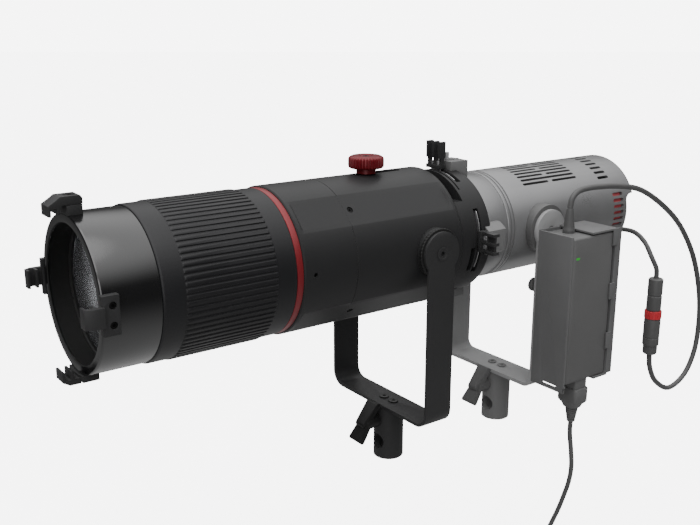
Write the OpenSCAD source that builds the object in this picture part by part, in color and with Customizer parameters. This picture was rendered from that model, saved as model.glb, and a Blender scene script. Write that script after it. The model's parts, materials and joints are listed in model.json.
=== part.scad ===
// Ellipsoidal spotlight with a coaxial lamp head, two tilting yokes and a mains adapter.
// Origin: mouth of the front receiver's upright bore. Beam leaves along -Y, up is +Z.

/* [Stand and axis] */
// Height of the optical axis over the mouth of the front receiver
axis_h = 225; // [215:1:240]
// Radius of the receiver's bores, for a 16 mm spigot
bore_r = 8.1; // [8.05:0.05:8.2]
// Length of each receiver
receiver_h = 56.4; // [54:0.2:58]

/* [Lens barrel] */
// Outside radius of the front tube
tube_r = 63; // [62.5:0.1:63]
// Radius over the ribs of the zoom ring
zoom_r = 65; // [64.5:0.1:65.5]
// Number of ribs on the zoom ring
zoom_ribs = 80; // [48:1:96]
// Travel of the zoom lens
zoom_travel = 30; // [10:1:30]

/* [Housing] */
// Outside radius of the housing
body_r = 65.4; // [65:0.1:65.5]
// Distance of the four flats from the axis
flat_d = 63.4; // [63.2:0.1:64]
// Outside radius of the shutter section
gate_r = 61; // [60.6:0.1:61]
// Diameter of the focus knob
knob_d = 33; // [28:0.5:34]

/* [Shutters] */
// Thickness of a shutter blade
blade_t = 0.6; // [0.4:0.1:0.7]
// Width of a shutter blade
blade_w = 54; // [40:1:56]

/* [Front yoke] */
// Outside half width of the front yoke
yoke_x = 74.2; // [74:0.1:76]
// Thickness of the front yoke strap
yoke_t = 3; // [2.5:0.1:3]
// Width of the front yoke strap
yoke_w = 30.3; // [28:0.1:32]

/* [Lamp head] */
// Outside radius of the lamp head
lamp_r = 54; // [53.8:0.1:54.4]
// Distance along the axis from the front pivot to the lamp pivot
lamp_y = 151.5; // [151:0.5:152]
// Outside half width of the lamp yoke
lyoke_x = 65.6; // [65.2:0.1:65.8]
// Thickness of the lamp yoke strap
lyoke_t = 4; // [3.6:0.1:4.2]

/* [Adapter and cords] */
// Diameter of the low-voltage lead
dc_d = 5.8; // [4:0.1:6]
// Diameter of the mains cord
ac_d = 5; // [4:0.1:5.4]

/* [Hidden] */

$fn = 96;
zc = axis_h;
fit = 0.05;
yoke_z = receiver_h;
lamp_z = 1.6;
lyoke_z = lamp_z + receiver_h;
lyoke_w = 32.2;
knob_y = -30;
knob_min = -10;
knob_max = 35;
near_z = 1;
top_x = -3;

// Route of the low-voltage lead, in the upright plane at x = 84: [y, z]
dc_x = 84;
dc_route = [[156, 249], [158, 258], [165, 264], [176, 266], [194, 266], [230, 263],
    [266, 255], [306, 234], [341, 207], [371, 169], [390, 126], [397, 87], [394, 50],
    [378, 23], [349, 13], [322, 28], [309, 48], [306, 65]];
// Route of the tail between the connector and the lamp's rear panel
tail_route = [[25, 287.2, 196], [25.2, 291.5, 196.2], [28, 299.5, 197.3], [36, 306.5, 198.5], [50, 309, 197],
    [68, 303, 190], [79, 301, 177], [83.6, 304.6, 165], [84, 306, 158.5], [84, 306, 153]];
// Route of the mains cord from the adapter down to the coil, and from the coil to the plug
ac_route = [[95, 165, 26], [95, 165, 12], [98, 165, -6], [100, 165, -24], [98, 165, -42],
    [93, 165, -60], [86.5, 165, -80], [79, 163, -102], [72.5, 158.5, -124],
    [69.5, 155, -143], [69.4, 155, -158]];
tail_end = [64.3, 149.8, -202];
coil_x = 42;
coil_y = 165;
coil_z = -160;
coil_r = 25;

// ---- shared shapes ----

// Puts a shape made along +Z onto the optical axis, from y0 toward +Y
module along_y(y0, z = zc) {
    translate([0, y0, z]) rotate([-90, 0, 0]) children();
}

// Puts a shape made along +Z onto the X axis at (x0, y, z), toward +X
module along_x(x0, y, z) {
    translate([x0, y, z]) rotate([0, 90, 0]) children();
}

// Turns a shape laid out radially along +X to an angle round the optical axis
module at(a) {
    translate([0, 0, zc]) rotate([0, -a, 0]) children();
}

module tube(ro, ri, y0, y1) {
    along_y(y0) difference() {
        cylinder(r = ro, h = y1 - y0);
        translate([0, 0, -1]) cylinder(r = ri, h = y1 - y0 + 2);
    }
}

// A turned piece from a profile of [radius, y] points
module turned(profile) {
    along_y(0) rotate_extrude() polygon(profile);
}

// A rectangle with round corners, made of squares and circles
module round_rect(w, h, r) {
    square([w - 2 * r, h], center = true);
    square([w, h - 2 * r], center = true);
    for (sx = [-1, 1], sy = [-1, 1])
        translate([sx * (w / 2 - r), sy * (h / 2 - r)]) circle(r = r, $fn = 48);
}

// A circle with n square ribs
module ribbed(r, depth, n) {
    p = 360 / n;
    polygon([for (i = [0:n - 1], k = [[0, 1], [0.42, 1], [0.55, 0], [0.87, 0]])
        let (a = (i + k[0]) * p, q = r - depth * (1 - k[1])) [q * cos(a), q * sin(a)]]);
}

// Convex or flat lens on the optical axis
module lens(r, y0, y1, bulge) {
    c = (r * r + bulge * bulge) / (2 * bulge);
    turned(concat([[0, y1], [r, y1]],
        [for (i = [0:9]) let (q = r * (9 - i) / 9) [q, y0 - bulge + c - sqrt(c * c - q * q)]]));
}

// Cord swept through route points, smoothed, as one tube
function dir(v) = v / norm(v);
function curve(p, i, t) = let (n = len(p), a = p[max(i - 1, 0)], b = p[i], c = p[i + 1],
    d = p[min(i + 2, n - 1)]) 0.5 * (2 * b + (c - a) * t + (2 * a - 5 * b + 4 * c - d) * t * t
    + (3 * b - a - 3 * c + d) * t * t * t);
function smooth_route(p, m) = [for (i = [0:len(p) - 2], k = [0:m - 1]) curve(p, i, k / m),
    p[len(p) - 1]];
function tangent(q, i) = dir(q[min(i + 1, len(q) - 1)] - q[max(i - 1, 0)]);

// side: a direction never parallel to the route, used to lay the rings without twist
module cord(p, d, m, sides, side) {
    q = smooth_route(p, m);
    pts = [for (i = [0:len(q) - 1], k = [0:sides - 1])
        let (t = tangent(q, i), u = dir(cross(side, t)), v = cross(t, u), a = 360 * k / sides)
        q[i] + d / 2 * (cos(a) * u + sin(a) * v)];
    n = len(q);
    faces = concat([[for (k = [0:sides - 1]) k]],
        [[for (k = [0:sides - 1]) (n - 1) * sides + sides - 1 - k]],
        [for (i = [0:n - 2], k = [0:sides - 1]) let (k2 = (k + 1) % sides)
            [i * sides + k2, i * sides + k, (i + 1) * sides + k, (i + 1) * sides + k2]]);
    polyhedron(pts, faces, convexity = 8);
}

// ---- yoke strap, receiver and clamp lever, used at both pivots ----

// U-shaped strap: half width x, thickness t, width w, base at z0, pivot at (y, zc)
module yoke_strap(x, t, w, z0, y, head_r, corner) {
    h = zc + head_r + 10 - z0;
    intersection() {
        translate([0, y + 40, z0 + h / 2]) rotate([90, 0, 0]) linear_extrude(80)
            difference() {
                round_rect(2 * x, h, corner + t);
                translate([0, t]) round_rect(2 * (x - t), h, corner);
                translate([0, h / 2]) square([2 * (x - t), 60], center = true);
            }
        translate([-x - 1, y, 0]) rotate([90, 0, 90]) linear_extrude(2 * x + 2) union() {
            translate([-w / 2, z0 - 1]) square([w, zc - z0 + 1]);
            translate([0, zc]) circle(r = head_r);
        }
    }
}

module yoke_holes(x, y, z0) {
    along_x(-x - 2, y, zc) cylinder(r = 4 + fit, h = 2 * x + 4);
    for (s = [-1, 1]) translate([s * 7.2, y, z0 - 1]) cylinder(r = 2.6, h = 8);
}

module receiver_body(y, z0) {
    difference() {
        translate([0, y, z0]) cylinder(r = 15, h = receiver_h);
        translate([0, y, z0 - 1]) cylinder(r = bore_r, h = 45);
        translate([0, y - 20, z0 + 18]) rotate([-90, 0, 0]) cylinder(r = bore_r, h = 40);
        translate([0, y - 20, z0 + 41.5]) rotate([-90, 0, 0]) cylinder(r = 4 + fit, h = 20);
        for (s = [-1, 1])
            translate([s * 7.2, y, z0 + receiver_h - 10]) cylinder(r = 2.4, h = 12);
    }
}

module base_screws(y, z0, t) {
    for (s = [-1, 1]) translate([s * 7.2, y, z0]) {
        translate([0, 0, -8]) cylinder(r = 2.4, h = 8 + t);
        translate([0, 0, t]) difference() {
            cylinder(r = 4.8, h = 1.3);
            translate([0, 0, 0.4]) cylinder(r = 2, h = 3, $fn = 6);
        }
    }
}

// Two-winged lever on its stud; the stud's thread is in the receiver
module lever_wings(y, z) {
    difference() {
        union() {
            translate([0, y - 15.6, z]) rotate([90, 0, 0]) cylinder(r = 7.4, h = 16);
            hull() {
                translate([-6, y - 33, z]) rotate([0, 90, 0]) cylinder(r = 4, h = 12, $fn = 32);
                translate([-8, y - 19.6, z + 18]) rotate([0, 90, 0])
                    cylinder(r = 2.6, h = 16, $fn = 32);
            }
            hull() {
                translate([-6, y - 29, z]) rotate([0, 90, 0]) cylinder(r = 4, h = 12, $fn = 32);
                translate([-9.5, y - 40, z - 15]) rotate([0, 90, 0])
                    cylinder(r = 2.6, h = 19, $fn = 32);
            }
        }
        translate([0, y - 13, z]) rotate([90, 0, 0]) cylinder(r = 4.01, h = 12);
    }
}

module lever_stud(y, z) {
    translate([0, y - 9.2, z]) rotate([90, 0, 0]) cylinder(r = 4, h = 15.6);
}

module pivot_bolt(s, x_in, x_out, y) {
    scale([s, 1, 1]) along_x(x_in, y, zc) difference() {
        union() {
            cylinder(r = 4, h = x_out - x_in);
            translate([0, 0, x_out - x_in]) cylinder(r = 6.2, h = 0.7);
        }
        translate([0, 0, x_out - x_in - 2]) cylinder(r = 2.3, h = 4, $fn = 6);
    }
}

module pivot_boss(x_out, y, r, shell_r) {
    for (s = [0, 1]) mirror([s, 0, 0]) difference() {
        along_x(40, y, zc) cylinder(r = r, h = x_out - 40);
        along_y(y - 40) cylinder(r = shell_r, h = 80);
        along_x(39, y, zc) cylinder(r = 4 + fit, h = 40);
    }
}

// ---- front yoke ----

module front_yoke() {
    color([0.07, 0.07, 0.075]) difference() {
        yoke_strap(yoke_x, yoke_t, yoke_w, yoke_z, 0, 20, 12);
        yoke_holes(yoke_x, 0, yoke_z);
    }
}

module receiver() {
    color([0.05, 0.05, 0.055]) receiver_body(0, 0);
}

module receiver_screws() {
    color([0.1, 0.1, 0.11]) base_screws(0, yoke_z, yoke_t);
}

module tilt_bolts() {
    color([0.06, 0.06, 0.06]) for (s = [-1, 1]) mirror([s < 0 ? 1 : 0, 0, 0])
        pivot_bolt(1, 62.4, yoke_x, 0);
}

module friction_discs() {
    color([0.05, 0.05, 0.05]) for (s = [0, 1]) mirror([s, 0, 0]) difference() {
        along_x(68.3, 0, zc) linear_extrude(yoke_x - yoke_t - 0.02 - 68.3) ribbed(22.6, 0.7, 60);
        along_x(67, 0, zc) cylinder(r = 4 + fit, h = 6);
    }
}

module clamp_lever() {
    color([0.06, 0.06, 0.06]) lever_wings(0, 41.5);
}

module clamp_stud() {
    color([0.5, 0.5, 0.5]) lever_stud(0, 41.5);
}

// ---- lens barrel ----

module front_tube() {
    color([0.05, 0.05, 0.055]) turned([[61.6, -310.5], [62.6, -310.1], [tube_r, -309.1],
        [tube_r, -264.5], [61, -264.5], [61, -140.92], [56, -140.92], [56, -279],
        [52, -279], [52, -281.9], [56, -281.9], [56, -308], [55, -309.5], [55.6, -310.5]]);
}

module lens_retainer() {
    color([0.04, 0.04, 0.04]) tube(55.95, 54.2, -292.2, -288.95);
}

module front_lens() {
    color([0.75, 0.82, 0.85, 0.4]) lens(55.9, -288.5, -282, 5.6);
}

// Clip laid out radially along +X, axial along Y
module clip_base() {
    difference() {
        translate([55, -312, -15]) cube([12, 13.2, 30]);
        translate([0, -330, 0]) rotate([-90, 0, 0]) cylinder(r = tube_r + 0.02, h = 40);
        for (s = [-1, 1]) translate([60, -303.9, s * 7.45]) rotate([0, 90, 0]) {
            cylinder(r = 1.6, h = 12);
            translate([0, 0, 5]) cylinder(r = 2.85, h = 8);
        }
    }
}

// Profile of the grooved arm in [radius, y], with a sloping nose
module clip_arm() {
    translate([0, 0, -7.5]) linear_extrude(15)
        polygon([[66.4, -298.8 - 13.1], [69.8, -311.9], [69.8, -319.6], [66.6, -325],
            [58.5, -325], [58.5, -323.0], [65.4, -322.8], [65.4, -318.4], [58.5, -318.2],
            [58.5, -316.4], [65.2, -316.1], [65.2, -313], [66.4, -311.8]]);
    translate([65, -313.4, -7.5]) cube([4.8, 2.6, 15]);
}

module frame_clips() {
    color([0.07, 0.07, 0.075]) {
        for (a = [0, 180, 270]) at(a) {
            clip_base();
            clip_arm();
        }
        at(90) difference() {
            translate([55, -311.2, -8]) cube([15.2, 12, 16]);
            translate([0, -330, 0]) rotate([-90, 0, 0]) cylinder(r = tube_r + 0.02, h = 40);
            translate([60, -306, 0]) rotate([0, 90, 0]) cylinder(r = 2.5, h = 14);
        }
    }
}

module clip_screws() {
    color([0.1, 0.1, 0.1]) {
        for (a = [0, 180, 270], s = [-1, 1]) at(a)
            translate([tube_r + 0.1, -303.9, s * 7.45]) rotate([0, 90, 0]) {
                cylinder(r = 1.5, h = 2.2);
                translate([0, 0, 2.1]) cylinder(r = 2.7, h = 1.5);
            }
        at(90) translate([tube_r + 0.1, -306, 0]) rotate([0, 90, 0]) cylinder(r = 2.45, h = 13.1);
    }
}

module top_latch() {
    color([0.08, 0.08, 0.085]) at(90) difference() {
        translate([0, 0, -8]) linear_extrude(16)
            polygon([[70.5, -298.8], [75, -298.8], [77.2, -300.4], [77.2, -315.5], [75, -318.5],
                [71, -325], [62.8, -325], [62.8, -323.0], [68.6, -322.8], [68.6, -318.4],
                [64, -318.2], [64, -316.5], [68.6, -316.1], [70.5, -314]]);
        translate([70, -306, 0]) rotate([0, 90, 0]) cylinder(r = 2.5, h = 12);
        translate([75.6, -306, 0]) rotate([0, 90, 0]) cylinder(r = 4.6, h = 6);
    }
}

module zoom_ring() {
    color([0.07, 0.07, 0.075]) difference() {
        union() {
            turned([[50, -264.2], [63.5, -264.2], [64.2, -262.5], [64.2, -245.5], [50, -245.5]]);
            along_y(-245.6) linear_extrude(80.6) ribbed(zoom_r, 0.7, zoom_ribs);
            turned([[50, -165.1], [64, -165.1], [64, -147.3], [50, -147.3]]);
        }
        along_y(-270) cylinder(r = 61.3, h = 130);
    }
}

module red_ring() {
    color([0.6, 0.06, 0.08]) tube(64, 61.02, -147, -140.95);
}

module zoom_carriage() {
    color([0.05, 0.05, 0.05]) difference() {
        along_y(-252) cylinder(r = 55.7, h = 20);
        along_y(-253) cylinder(r = 47, h = 22);
        along_y(-250) cylinder(r = 50.1, h = 22);
    }
}

module zoom_lens() {
    color([0.75, 0.82, 0.85, 0.4]) lens(50, -243.4, -238, 6.4);
}

// ---- housing ----

module flats(y0, y1) {
    for (a = [45.3, 134.7, 225.3, 314.7]) at(a)
        translate([flat_d, y0, -20]) cube([8, y1 - y0, 40]);
}

module front_housing() {
    color([0.04, 0.04, 0.042]) difference() {
        turned([[64.4, -140.9], [body_r, -139.9], [body_r, -87.05], [61, -87.05], [61, -132], [57, -132], [57, -140.9]]);
        flats(-134.7, -87);
        at(0) translate([60, -132.7 + 2.6, 0]) rotate([0, 90, 0]) cylinder(r = 1.5, h = 12);
    }
}

module main_housing() {
    color([0.04, 0.04, 0.042]) difference() {
        turned([[61, -87], [body_r, -87], [body_r, 31.5], [62.4, 34.95], [52, 34.95],
            [52, 32.5], [61, 32.5]]);
        flats(-87.1, 27);
        translate([-4, -40, zc + 50]) cube([8, 44.5, 30]);
        for (y = [-40, 4.5]) translate([0, y, zc + 50]) cylinder(r = 4, h = 30);
        along_x(-80, 0, zc) cylinder(r = 4 + fit, h = 160);
        for (a = [45.3, 134.7, 225.3, 314.7]) at(a)
            translate([60, -80.8, 0]) rotate([0, 90, 0]) {
                cylinder(r = 1.6, h = 10);
                translate([0, 0, flat_d - 60 - 1.4]) cylinder(r = 2.9, h = 8);
            }
    }
}

module housing_screws() {
    color([0.25, 0.25, 0.26]) {
        for (a = [45.3, 134.7, 225.3, 314.7]) at(a)
            translate([61.1, -80.8, 0]) rotate([0, 90, 0]) difference() {
                union() {
                    cylinder(r = 1.5, h = 0.95);
                    translate([0, 0, 0.93]) cylinder(r = 2.8, h = 1.2);
                }
                translate([0, 0, 1.5]) cylinder(r = 1.2, h = 2, $fn = 6);
            }
        at(0) translate([61.2, -130.1, 0]) rotate([0, 90, 0]) cylinder(r = 1.45, h = 3);
    }
}

module tilt_bosses() {
    color([0.06, 0.06, 0.06]) pivot_boss(68, 0, 22, body_r + 0.02);
}

module focus_carriage() {
    color([0.05, 0.05, 0.05]) {
        difference() {
            along_y(knob_y - 12) cylinder(r = 60.7, h = 24);
            along_y(knob_y - 13) cylinder(r = 50, h = 26);
            along_y(knob_y - 10) cylinder(r = 54.1, h = 26);
        }
        translate([0, knob_y, zc + 57]) cylinder(r = 2.7, h = 17);
    }
}

module focus_lens() {
    color([0.75, 0.82, 0.85, 0.4]) lens(54, knob_y - 1.4, knob_y + 4, 7.8);
}

module focus_knob() {
    color([0.55, 0.07, 0.1]) difference() {
        union() {
            translate([0, knob_y, zc + 65.75]) cylinder(r = 9, h = 5);
            translate([0, knob_y, zc + 70.3]) linear_extrude(11.2) ribbed(knob_d / 2, 0.8, 30);
            translate([0, knob_y, zc + 75]) cylinder(r = 14.2, h = 7);
        }
        translate([0, knob_y, zc + 64]) cylinder(r = 2.7 + fit, h = 10.6);
    }
}

module gate_profile(g) {
    turned([[gate_r + g, 35], [gate_r + g, 71], [60.6 + g, 72.6], [59.2 + g, 74.3],
        [57 + g, 75.5 + g], [54.4 + g, 76.1 + g], [40, 76.1 + g], [40, 35]]);
}

module shutter_housing() {
    color([0.045, 0.045, 0.047]) difference() {
        turned([[gate_r, 35], [gate_r, 71], [60.6, 72.6], [59.2, 74.3], [57, 75.5],
            [54.4, 76.1], [40, 76.1], [40, 72], [50, 72], [50, 63.2], [38, 63.2], [38, 61.4],
            [50, 61.4], [50, 54], [38, 54], [38, 52.6], [50, 52.6], [50, 35]]);
        // drop-in slot for pattern holders
        translate([-47.7, 36, zc + 38]) cube([95.4, 11, 40]);
        // narrow slot for a filter sheet
        translate([-39, 49.8, zc + 47]) cube([78, 1.8, 30]);
        // blade slots above and below, and at both sides
        for (s = [-1, 1]) translate([-30.5, s > 0 ? 54.5 : 56.1, s > 0 ? zc + 38 : zc - 80])
            cube([61, 5.3, 42]);
        for (s = [-1, 1]) translate([s > 0 ? 38 : -80, s > 0 ? 55.3 : 54.2, zc - 30.5])
            cube([42, s > 0 ? 6 : 5.3, 61]);
        // side window
        translate([50.5, 47.8, zc - 28]) cube([22, 5.4, 23]);
    }
}

// Blade pushed in along +X of its own frame, plane at y; its outer edge follows the housing
module blade(y) {
    intersection() {
        translate([22, y, -blade_w / 2]) cube([32, blade_t, blade_w]);
        translate([0, y - 1, 0]) rotate([-90, 0, 0]) cylinder(r = 60.2, h = 3);
    }
    intersection() {
        translate([53.9, y, -27]) cube([12, blade_t, 54]);
        translate([0, y - 1, 0]) rotate([-90, 0, 0]) cylinder(r = 60.2, h = 3);
    }
    translate([53, y, -7]) cube([16, blade_t, 14]);
}

// Handle on a blade's outer end: a web with two holes and three ribs; e is its outer end
module blade_handle(y, e) {
    difference() {
        union() {
            translate([61.9, y - 3.9, -9.6]) cube([3.4, 7.4, 19.2]);
            translate([62, y - 1.1, -9.6]) cube([e - 63.6, 2.6, 19.2]);
            for (z = [-10, -1.4, 7.2]) translate([62, y - 3.9, z]) cube([e - 62, 7.4, 2.8]);
        }
        translate([61, y - 0.01, -7.1]) cube([8.1, blade_t + 0.02, 14.2]);
        for (z = [-4.3, 4.3]) hull() for (q = [0, 2.2]) translate([67.8 + q, y - 6, z])
            rotate([-90, 0, 0]) cylinder(r = 2.4, h = 12, $fn = 32);
        for (q = [-6, 1.9]) translate([65.3, y + q, -11]) cube([6.8, 4.1, 22]);
    }
}

module top_blade() {
    color([0.6, 0.6, 0.62]) translate([top_x, 0, 0]) at(90) blade(57.5);
}

module top_handle() {
    color([0.05, 0.05, 0.05]) translate([top_x, 0, 0]) at(90) blade_handle(57.5, 88);
}

module bottom_blade() {
    color([0.6, 0.6, 0.62]) at(270) blade(60.1);
}

module bottom_handle() {
    color([0.05, 0.05, 0.05]) at(270) blade_handle(60.1, 86);
}

module near_blade() {
    color([0.6, 0.6, 0.62]) translate([0, 0, near_z]) at(0) blade(58.8);
}

module near_handle() {
    color([0.05, 0.05, 0.05]) translate([0, 0, near_z]) at(0) blade_handle(58.8, 82.5);
}

module far_blade() {
    color([0.6, 0.6, 0.62]) at(180) blade(56.2);
}

module far_handle() {
    color([0.05, 0.05, 0.05]) at(180) blade_handle(56.2, 86);
}

// ---- lamp head ----

module lamp_front_ring() {
    color([0.5, 0.5, 0.5]) turned([[53.4, 76.2], [53.4, 103.9], [48, 103.9], [48, 80],
        [44, 80], [44, 76.2]]);
}

module condenser_lens() {
    color([0.8, 0.82, 0.84, 0.4]) lens(47.9, 90, 98, 9);
}

module lamp_clips() {
    color([0.45, 0.45, 0.45]) difference() {
        union() {
            for (a = [90, 270]) at(a) {
                translate([50, 63.9, -12]) cube([18.8, 22.1, 24]);
                for (y = [75, 81.5]) translate([68.7, y, 0]) rotate([0, 90, 0])
                    cylinder(r = 2.8, h = 0.9);
            }
            for (a = [0, 180]) at(a) translate([0, 66, 0]) rotate([-90, 0, 0]) linear_extrude(22.4)
                polygon([[46, -15], [57, -15], [65, -9.5], [65, 11], [61, 14], [46, 14]]);
        }
        gate_profile(0.1);
        along_y(60) cylinder(r = 53.45, h = 60);
        translate([0, 69, zc + 53.5]) cylinder(r = 1.8 + fit, h = 30);
    }
}

module latch_pin() {
    color([0.6, 0.6, 0.6]) {
        translate([0, 69, zc + 62]) cylinder(r = 1.8, h = 13);
        translate([0, 69, zc + 69.2]) cylinder(r = 2.3, h = 7.6);
    }
}

module lamp_shell() {
    color([0.6, 0.6, 0.6]) difference() {
        turned([[lamp_r - 0.6, 104], [lamp_r, 104.6], [lamp_r, 107.6], [lamp_r - 0.6, 107.8],
            [lamp_r - 0.6, 108.6], [lamp_r, 108.8], [lamp_r, 111.6], [lamp_r - 0.6, 111.8],
            [lamp_r - 0.6, 112.6], [lamp_r, 112.8], [lamp_r, 296.8], [lamp_r - 1.2, 298],
            [51, 298], [51, 104]]);
        // top slots: alternate rows are split in two
        for (i = [0:14]) at(50.4 + i * 5.66) if (i % 2 == 0)
            for (y = [141.5, 184]) translate([49, y, -1.1]) cube([8, 37, 2.2]);
            else translate([49, 142.3, -1.1]) cube([8, 78.6, 2.2]);
        // short slots toward the rear
        for (i = [0:12]) at(44.4 + i * 7.6) translate([49, 252, -1.1]) cube([8, 15.5, 2.2]);
        // side slots
        for (i = [0:5], s = [0, 1]) mirror([s, 0, 0]) at(-13.5 + i * 7.06)
            translate([49, 264.5, -1.4]) cube([8, 15, 2.8]);
        // open lower rear under the overhang
        translate([-60, 0, zc]) rotate([90, 0, 90]) linear_extrude(120)
            polygon([[285, -60], [285, 12.5], [290, 17.5], [299, 19], [299, -60]]);
        along_x(-80, lamp_y, zc) cylinder(r = 4 + fit, h = 160);
    }
}

module led_board() {
    color([0.85, 0.8, 0.5]) union() {
        along_y(118) cylinder(r = 44, h = 3);
        along_y(116.5) cylinder(r = 14, h = 2);
    }
}

module heat_sink() {
    color([0.25, 0.25, 0.26]) along_y(121.1) linear_extrude(112) union() {
        circle(r = 20);
        for (i = [0:19]) rotate([0, 0, i * 18]) translate([10, -0.8]) square([36, 1.6]);
    }
}

module fan_rotor() {
    color([0.1, 0.1, 0.1]) union() {
        along_y(241) cylinder(r = 15, h = 13);
        for (i = [0:6]) translate([0, 247.5, zc]) rotate([0, i * 360 / 7, 0]) rotate([35, 0, 0])
            translate([12, -0.9, -7]) cube([30, 1.8, 14]);
    }
}

module rear_panel() {
    color([0.3, 0.3, 0.3]) difference() {
        union() {
            along_y(280) cylinder(r = 50.95, h = 3);
            translate([25, 282.9, 196]) rotate([-90, 0, 0]) cylinder(r = 5.5, h = 4);
            translate([-22, 282.9, 196]) rotate([-90, 0, 0]) cylinder(r = 6, h = 2);
        }
        translate([0, 270, zc - 4]) rotate([-90, 0, 0]) cylinder(r = 3 + fit, h = 20);
    }
}

module control_dial() {
    color([0.2, 0.2, 0.2]) {
        translate([0, 276, zc - 4]) rotate([-90, 0, 0]) cylinder(r = 3, h = 8);
        translate([0, 283.3, zc - 4]) rotate([-90, 0, 0]) linear_extrude(9) ribbed(10, 0.6, 24);
    }
}

module lamp_bosses() {
    color([0.5, 0.5, 0.5]) pivot_boss(lyoke_x - lyoke_t - 0.3, lamp_y, 24, lamp_r + 0.02);
}

// ---- lamp yoke with the adapter ----

module lamp_yoke() {
    color([0.45, 0.45, 0.45]) difference() {
        yoke_strap(lyoke_x, lyoke_t, lyoke_w, lyoke_z, lamp_y, 20, 9);
        yoke_holes(lyoke_x, lamp_y, lyoke_z);
        along_x(55, lamp_y - 8, 167) cylinder(r = 3 + fit, h = 20);
    }
}

module lamp_bolts() {
    color([0.4, 0.4, 0.4]) for (s = [0, 1]) mirror([s, 0, 0]) {
        along_x(52, lamp_y, zc) cylinder(r = 4, h = lyoke_x - 52);
        along_x(lyoke_x, lamp_y, zc) cylinder(r = 6, h = s > 0 ? 3 : 0.01);
    }
}

module lamp_receiver() {
    color([0.4, 0.4, 0.4]) receiver_body(lamp_y, lamp_z);
}

module lamp_receiver_screws() {
    color([0.45, 0.45, 0.45]) base_screws(lamp_y, lyoke_z, lyoke_t);
}

module lamp_clamp_lever() {
    color([0.4, 0.4, 0.4]) union() {
        lever_wings(lamp_y, lamp_z + 41.5);
        lever_stud(lamp_y, lamp_z + 41.5);
    }
}

module adapter_bracket() {
    color([0.5, 0.5, 0.5]) difference() {
        union() {
            translate([lyoke_x + 0.02, 134, 69]) cube([2.2, 65.8, 158.3]);
            translate([lyoke_x + 0.02, 134, 67.6]) cube([42.1, 2.4, 159.4]);
            translate([lyoke_x + 1, 163, 226.2]) cube([42.1, 36.7, 2]);
            translate([lyoke_x + 1, 134.1, 73.2]) cube([42.1, 65.7, 2]);
            translate([lyoke_x + 1, 197.8, 73.2]) cube([42.1, 2, 155]);
            translate([107.7, 197.9, 75]) cube([1, 8.6, 153.2]);
            for (z = [211, 155.5, 103]) translate([108, 193.4, z]) cube([1.6, 7.4, 16.8]);
        }
        translate([80, 130, 71.2]) cube([18, 8, 2]);
        translate([80, 136.5, 72]) cube([40, 42.5, 5]);
        along_x(60, lamp_y - 8, 167) cylinder(r = 3 + fit, h = 12);
    }
}

module bracket_knob() {
    color([0.4, 0.4, 0.4]) union() {
        along_x(58.5, lamp_y - 8, 167) cylinder(r = 3, h = 9.2);
        along_x(51.8, lamp_y - 8, 167) linear_extrude(6) ribbed(7, 0.5, 18);
        along_x(57.8, lamp_y - 8, 167) cylinder(r = 4.5, h = 3.4);
    }
}

module power_adapter() {
    color([0.42, 0.42, 0.42]) difference() {
        union() {
            translate([87.85, 167.1, 75.4]) linear_extrude(149.6) round_rect(39.7, 61, 4);
            translate([dc_x, 156, 225]) cylinder(r = 6, h = 4);
            translate([dc_x, 156, 229]) cylinder(r1 = 5.6, r2 = 3.4, h = 20);
        }
        translate([95, 165, 75]) linear_extrude(8) round_rect(22, 18, 3);
    }
}

module dc_lead() {
    color([0.36, 0.36, 0.36]) cord([for (p = dc_route) [dc_x, p[0], p[1]]], dc_d, 2, 8,
        [1, 0, 0]);
}

module dc_connector() {
    color([0.38, 0.38, 0.38]) translate([dc_x, 306, 65]) {
        cylinder(r1 = 6.4, r2 = 7.8, h = 2);
        translate([0, 0, 2]) cylinder(r = 7.8, h = 9);
        translate([0, 0, 11]) cylinder(r = 8.9, h = 31);
        translate([0, 0, 42]) cylinder(r = 9.3, h = 9);
        translate([0, 0, 51]) cylinder(r = 8, h = 35);
        translate([0, 0, 86]) cylinder(r1 = 8, r2 = 6.4, h = 2);
    }
}

module dc_tail() {
    color([0.36, 0.36, 0.36]) cord(tail_route, 5.4, 2, 8, [1, 0, 1]);
}

module ac_plug() {
    color([0.38, 0.38, 0.38]) union() {
        translate([95, 165, 57]) linear_extrude(24.6) round_rect(21.6, 17.6, 2.8);
        translate([95, 165, 49]) linear_extrude(16) round_rect(25, 20, 3);
        translate([95, 165, 43]) cylinder(r = 8.5, h = 7);
        translate([95, 165, 26]) cylinder(r1 = 4.2, r2 = 7, h = 17.1);
    }
}

module ac_cord() {
    color([0.36, 0.36, 0.36]) cord(ac_route, ac_d, 2, 8, [0, 1, 0]);
}

// Two layers of four turns, tied into one ring
module coil_solid() {
    translate([coil_x, coil_y, coil_z]) rotate([90, 0, 0]) rotate_extrude()
        translate([coil_r, 0]) round_rect(10.5, 25, 3);
}

module ac_coil() {
    color([0.36, 0.36, 0.36]) difference() {
        coil_solid();
        ac_cord();
    }
}

module ac_tail() {
    color([0.36, 0.36, 0.36]) cord([[tail_end[0], tail_end[1], -158],
        [tail_end[0], tail_end[1], -180], tail_end], ac_d, 4, 8, [0, 1, 0]);
}

module mains_plug() {
    color([0.36, 0.36, 0.36]) translate(tail_end) {
        translate([0, 0, -30]) cylinder(r1 = 7, r2 = 3.4, h = 30);
        translate([0, 0, -60]) cylinder(r = 15, h = 30.1);
        for (s = [-1, 1]) translate([s * 6.3 - 0.75, -3.2, -78]) cube([1.5, 6.4, 18.1]);
        translate([0, 8, -78]) cylinder(r = 2.4, h = 18.1);
    }
}

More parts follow.
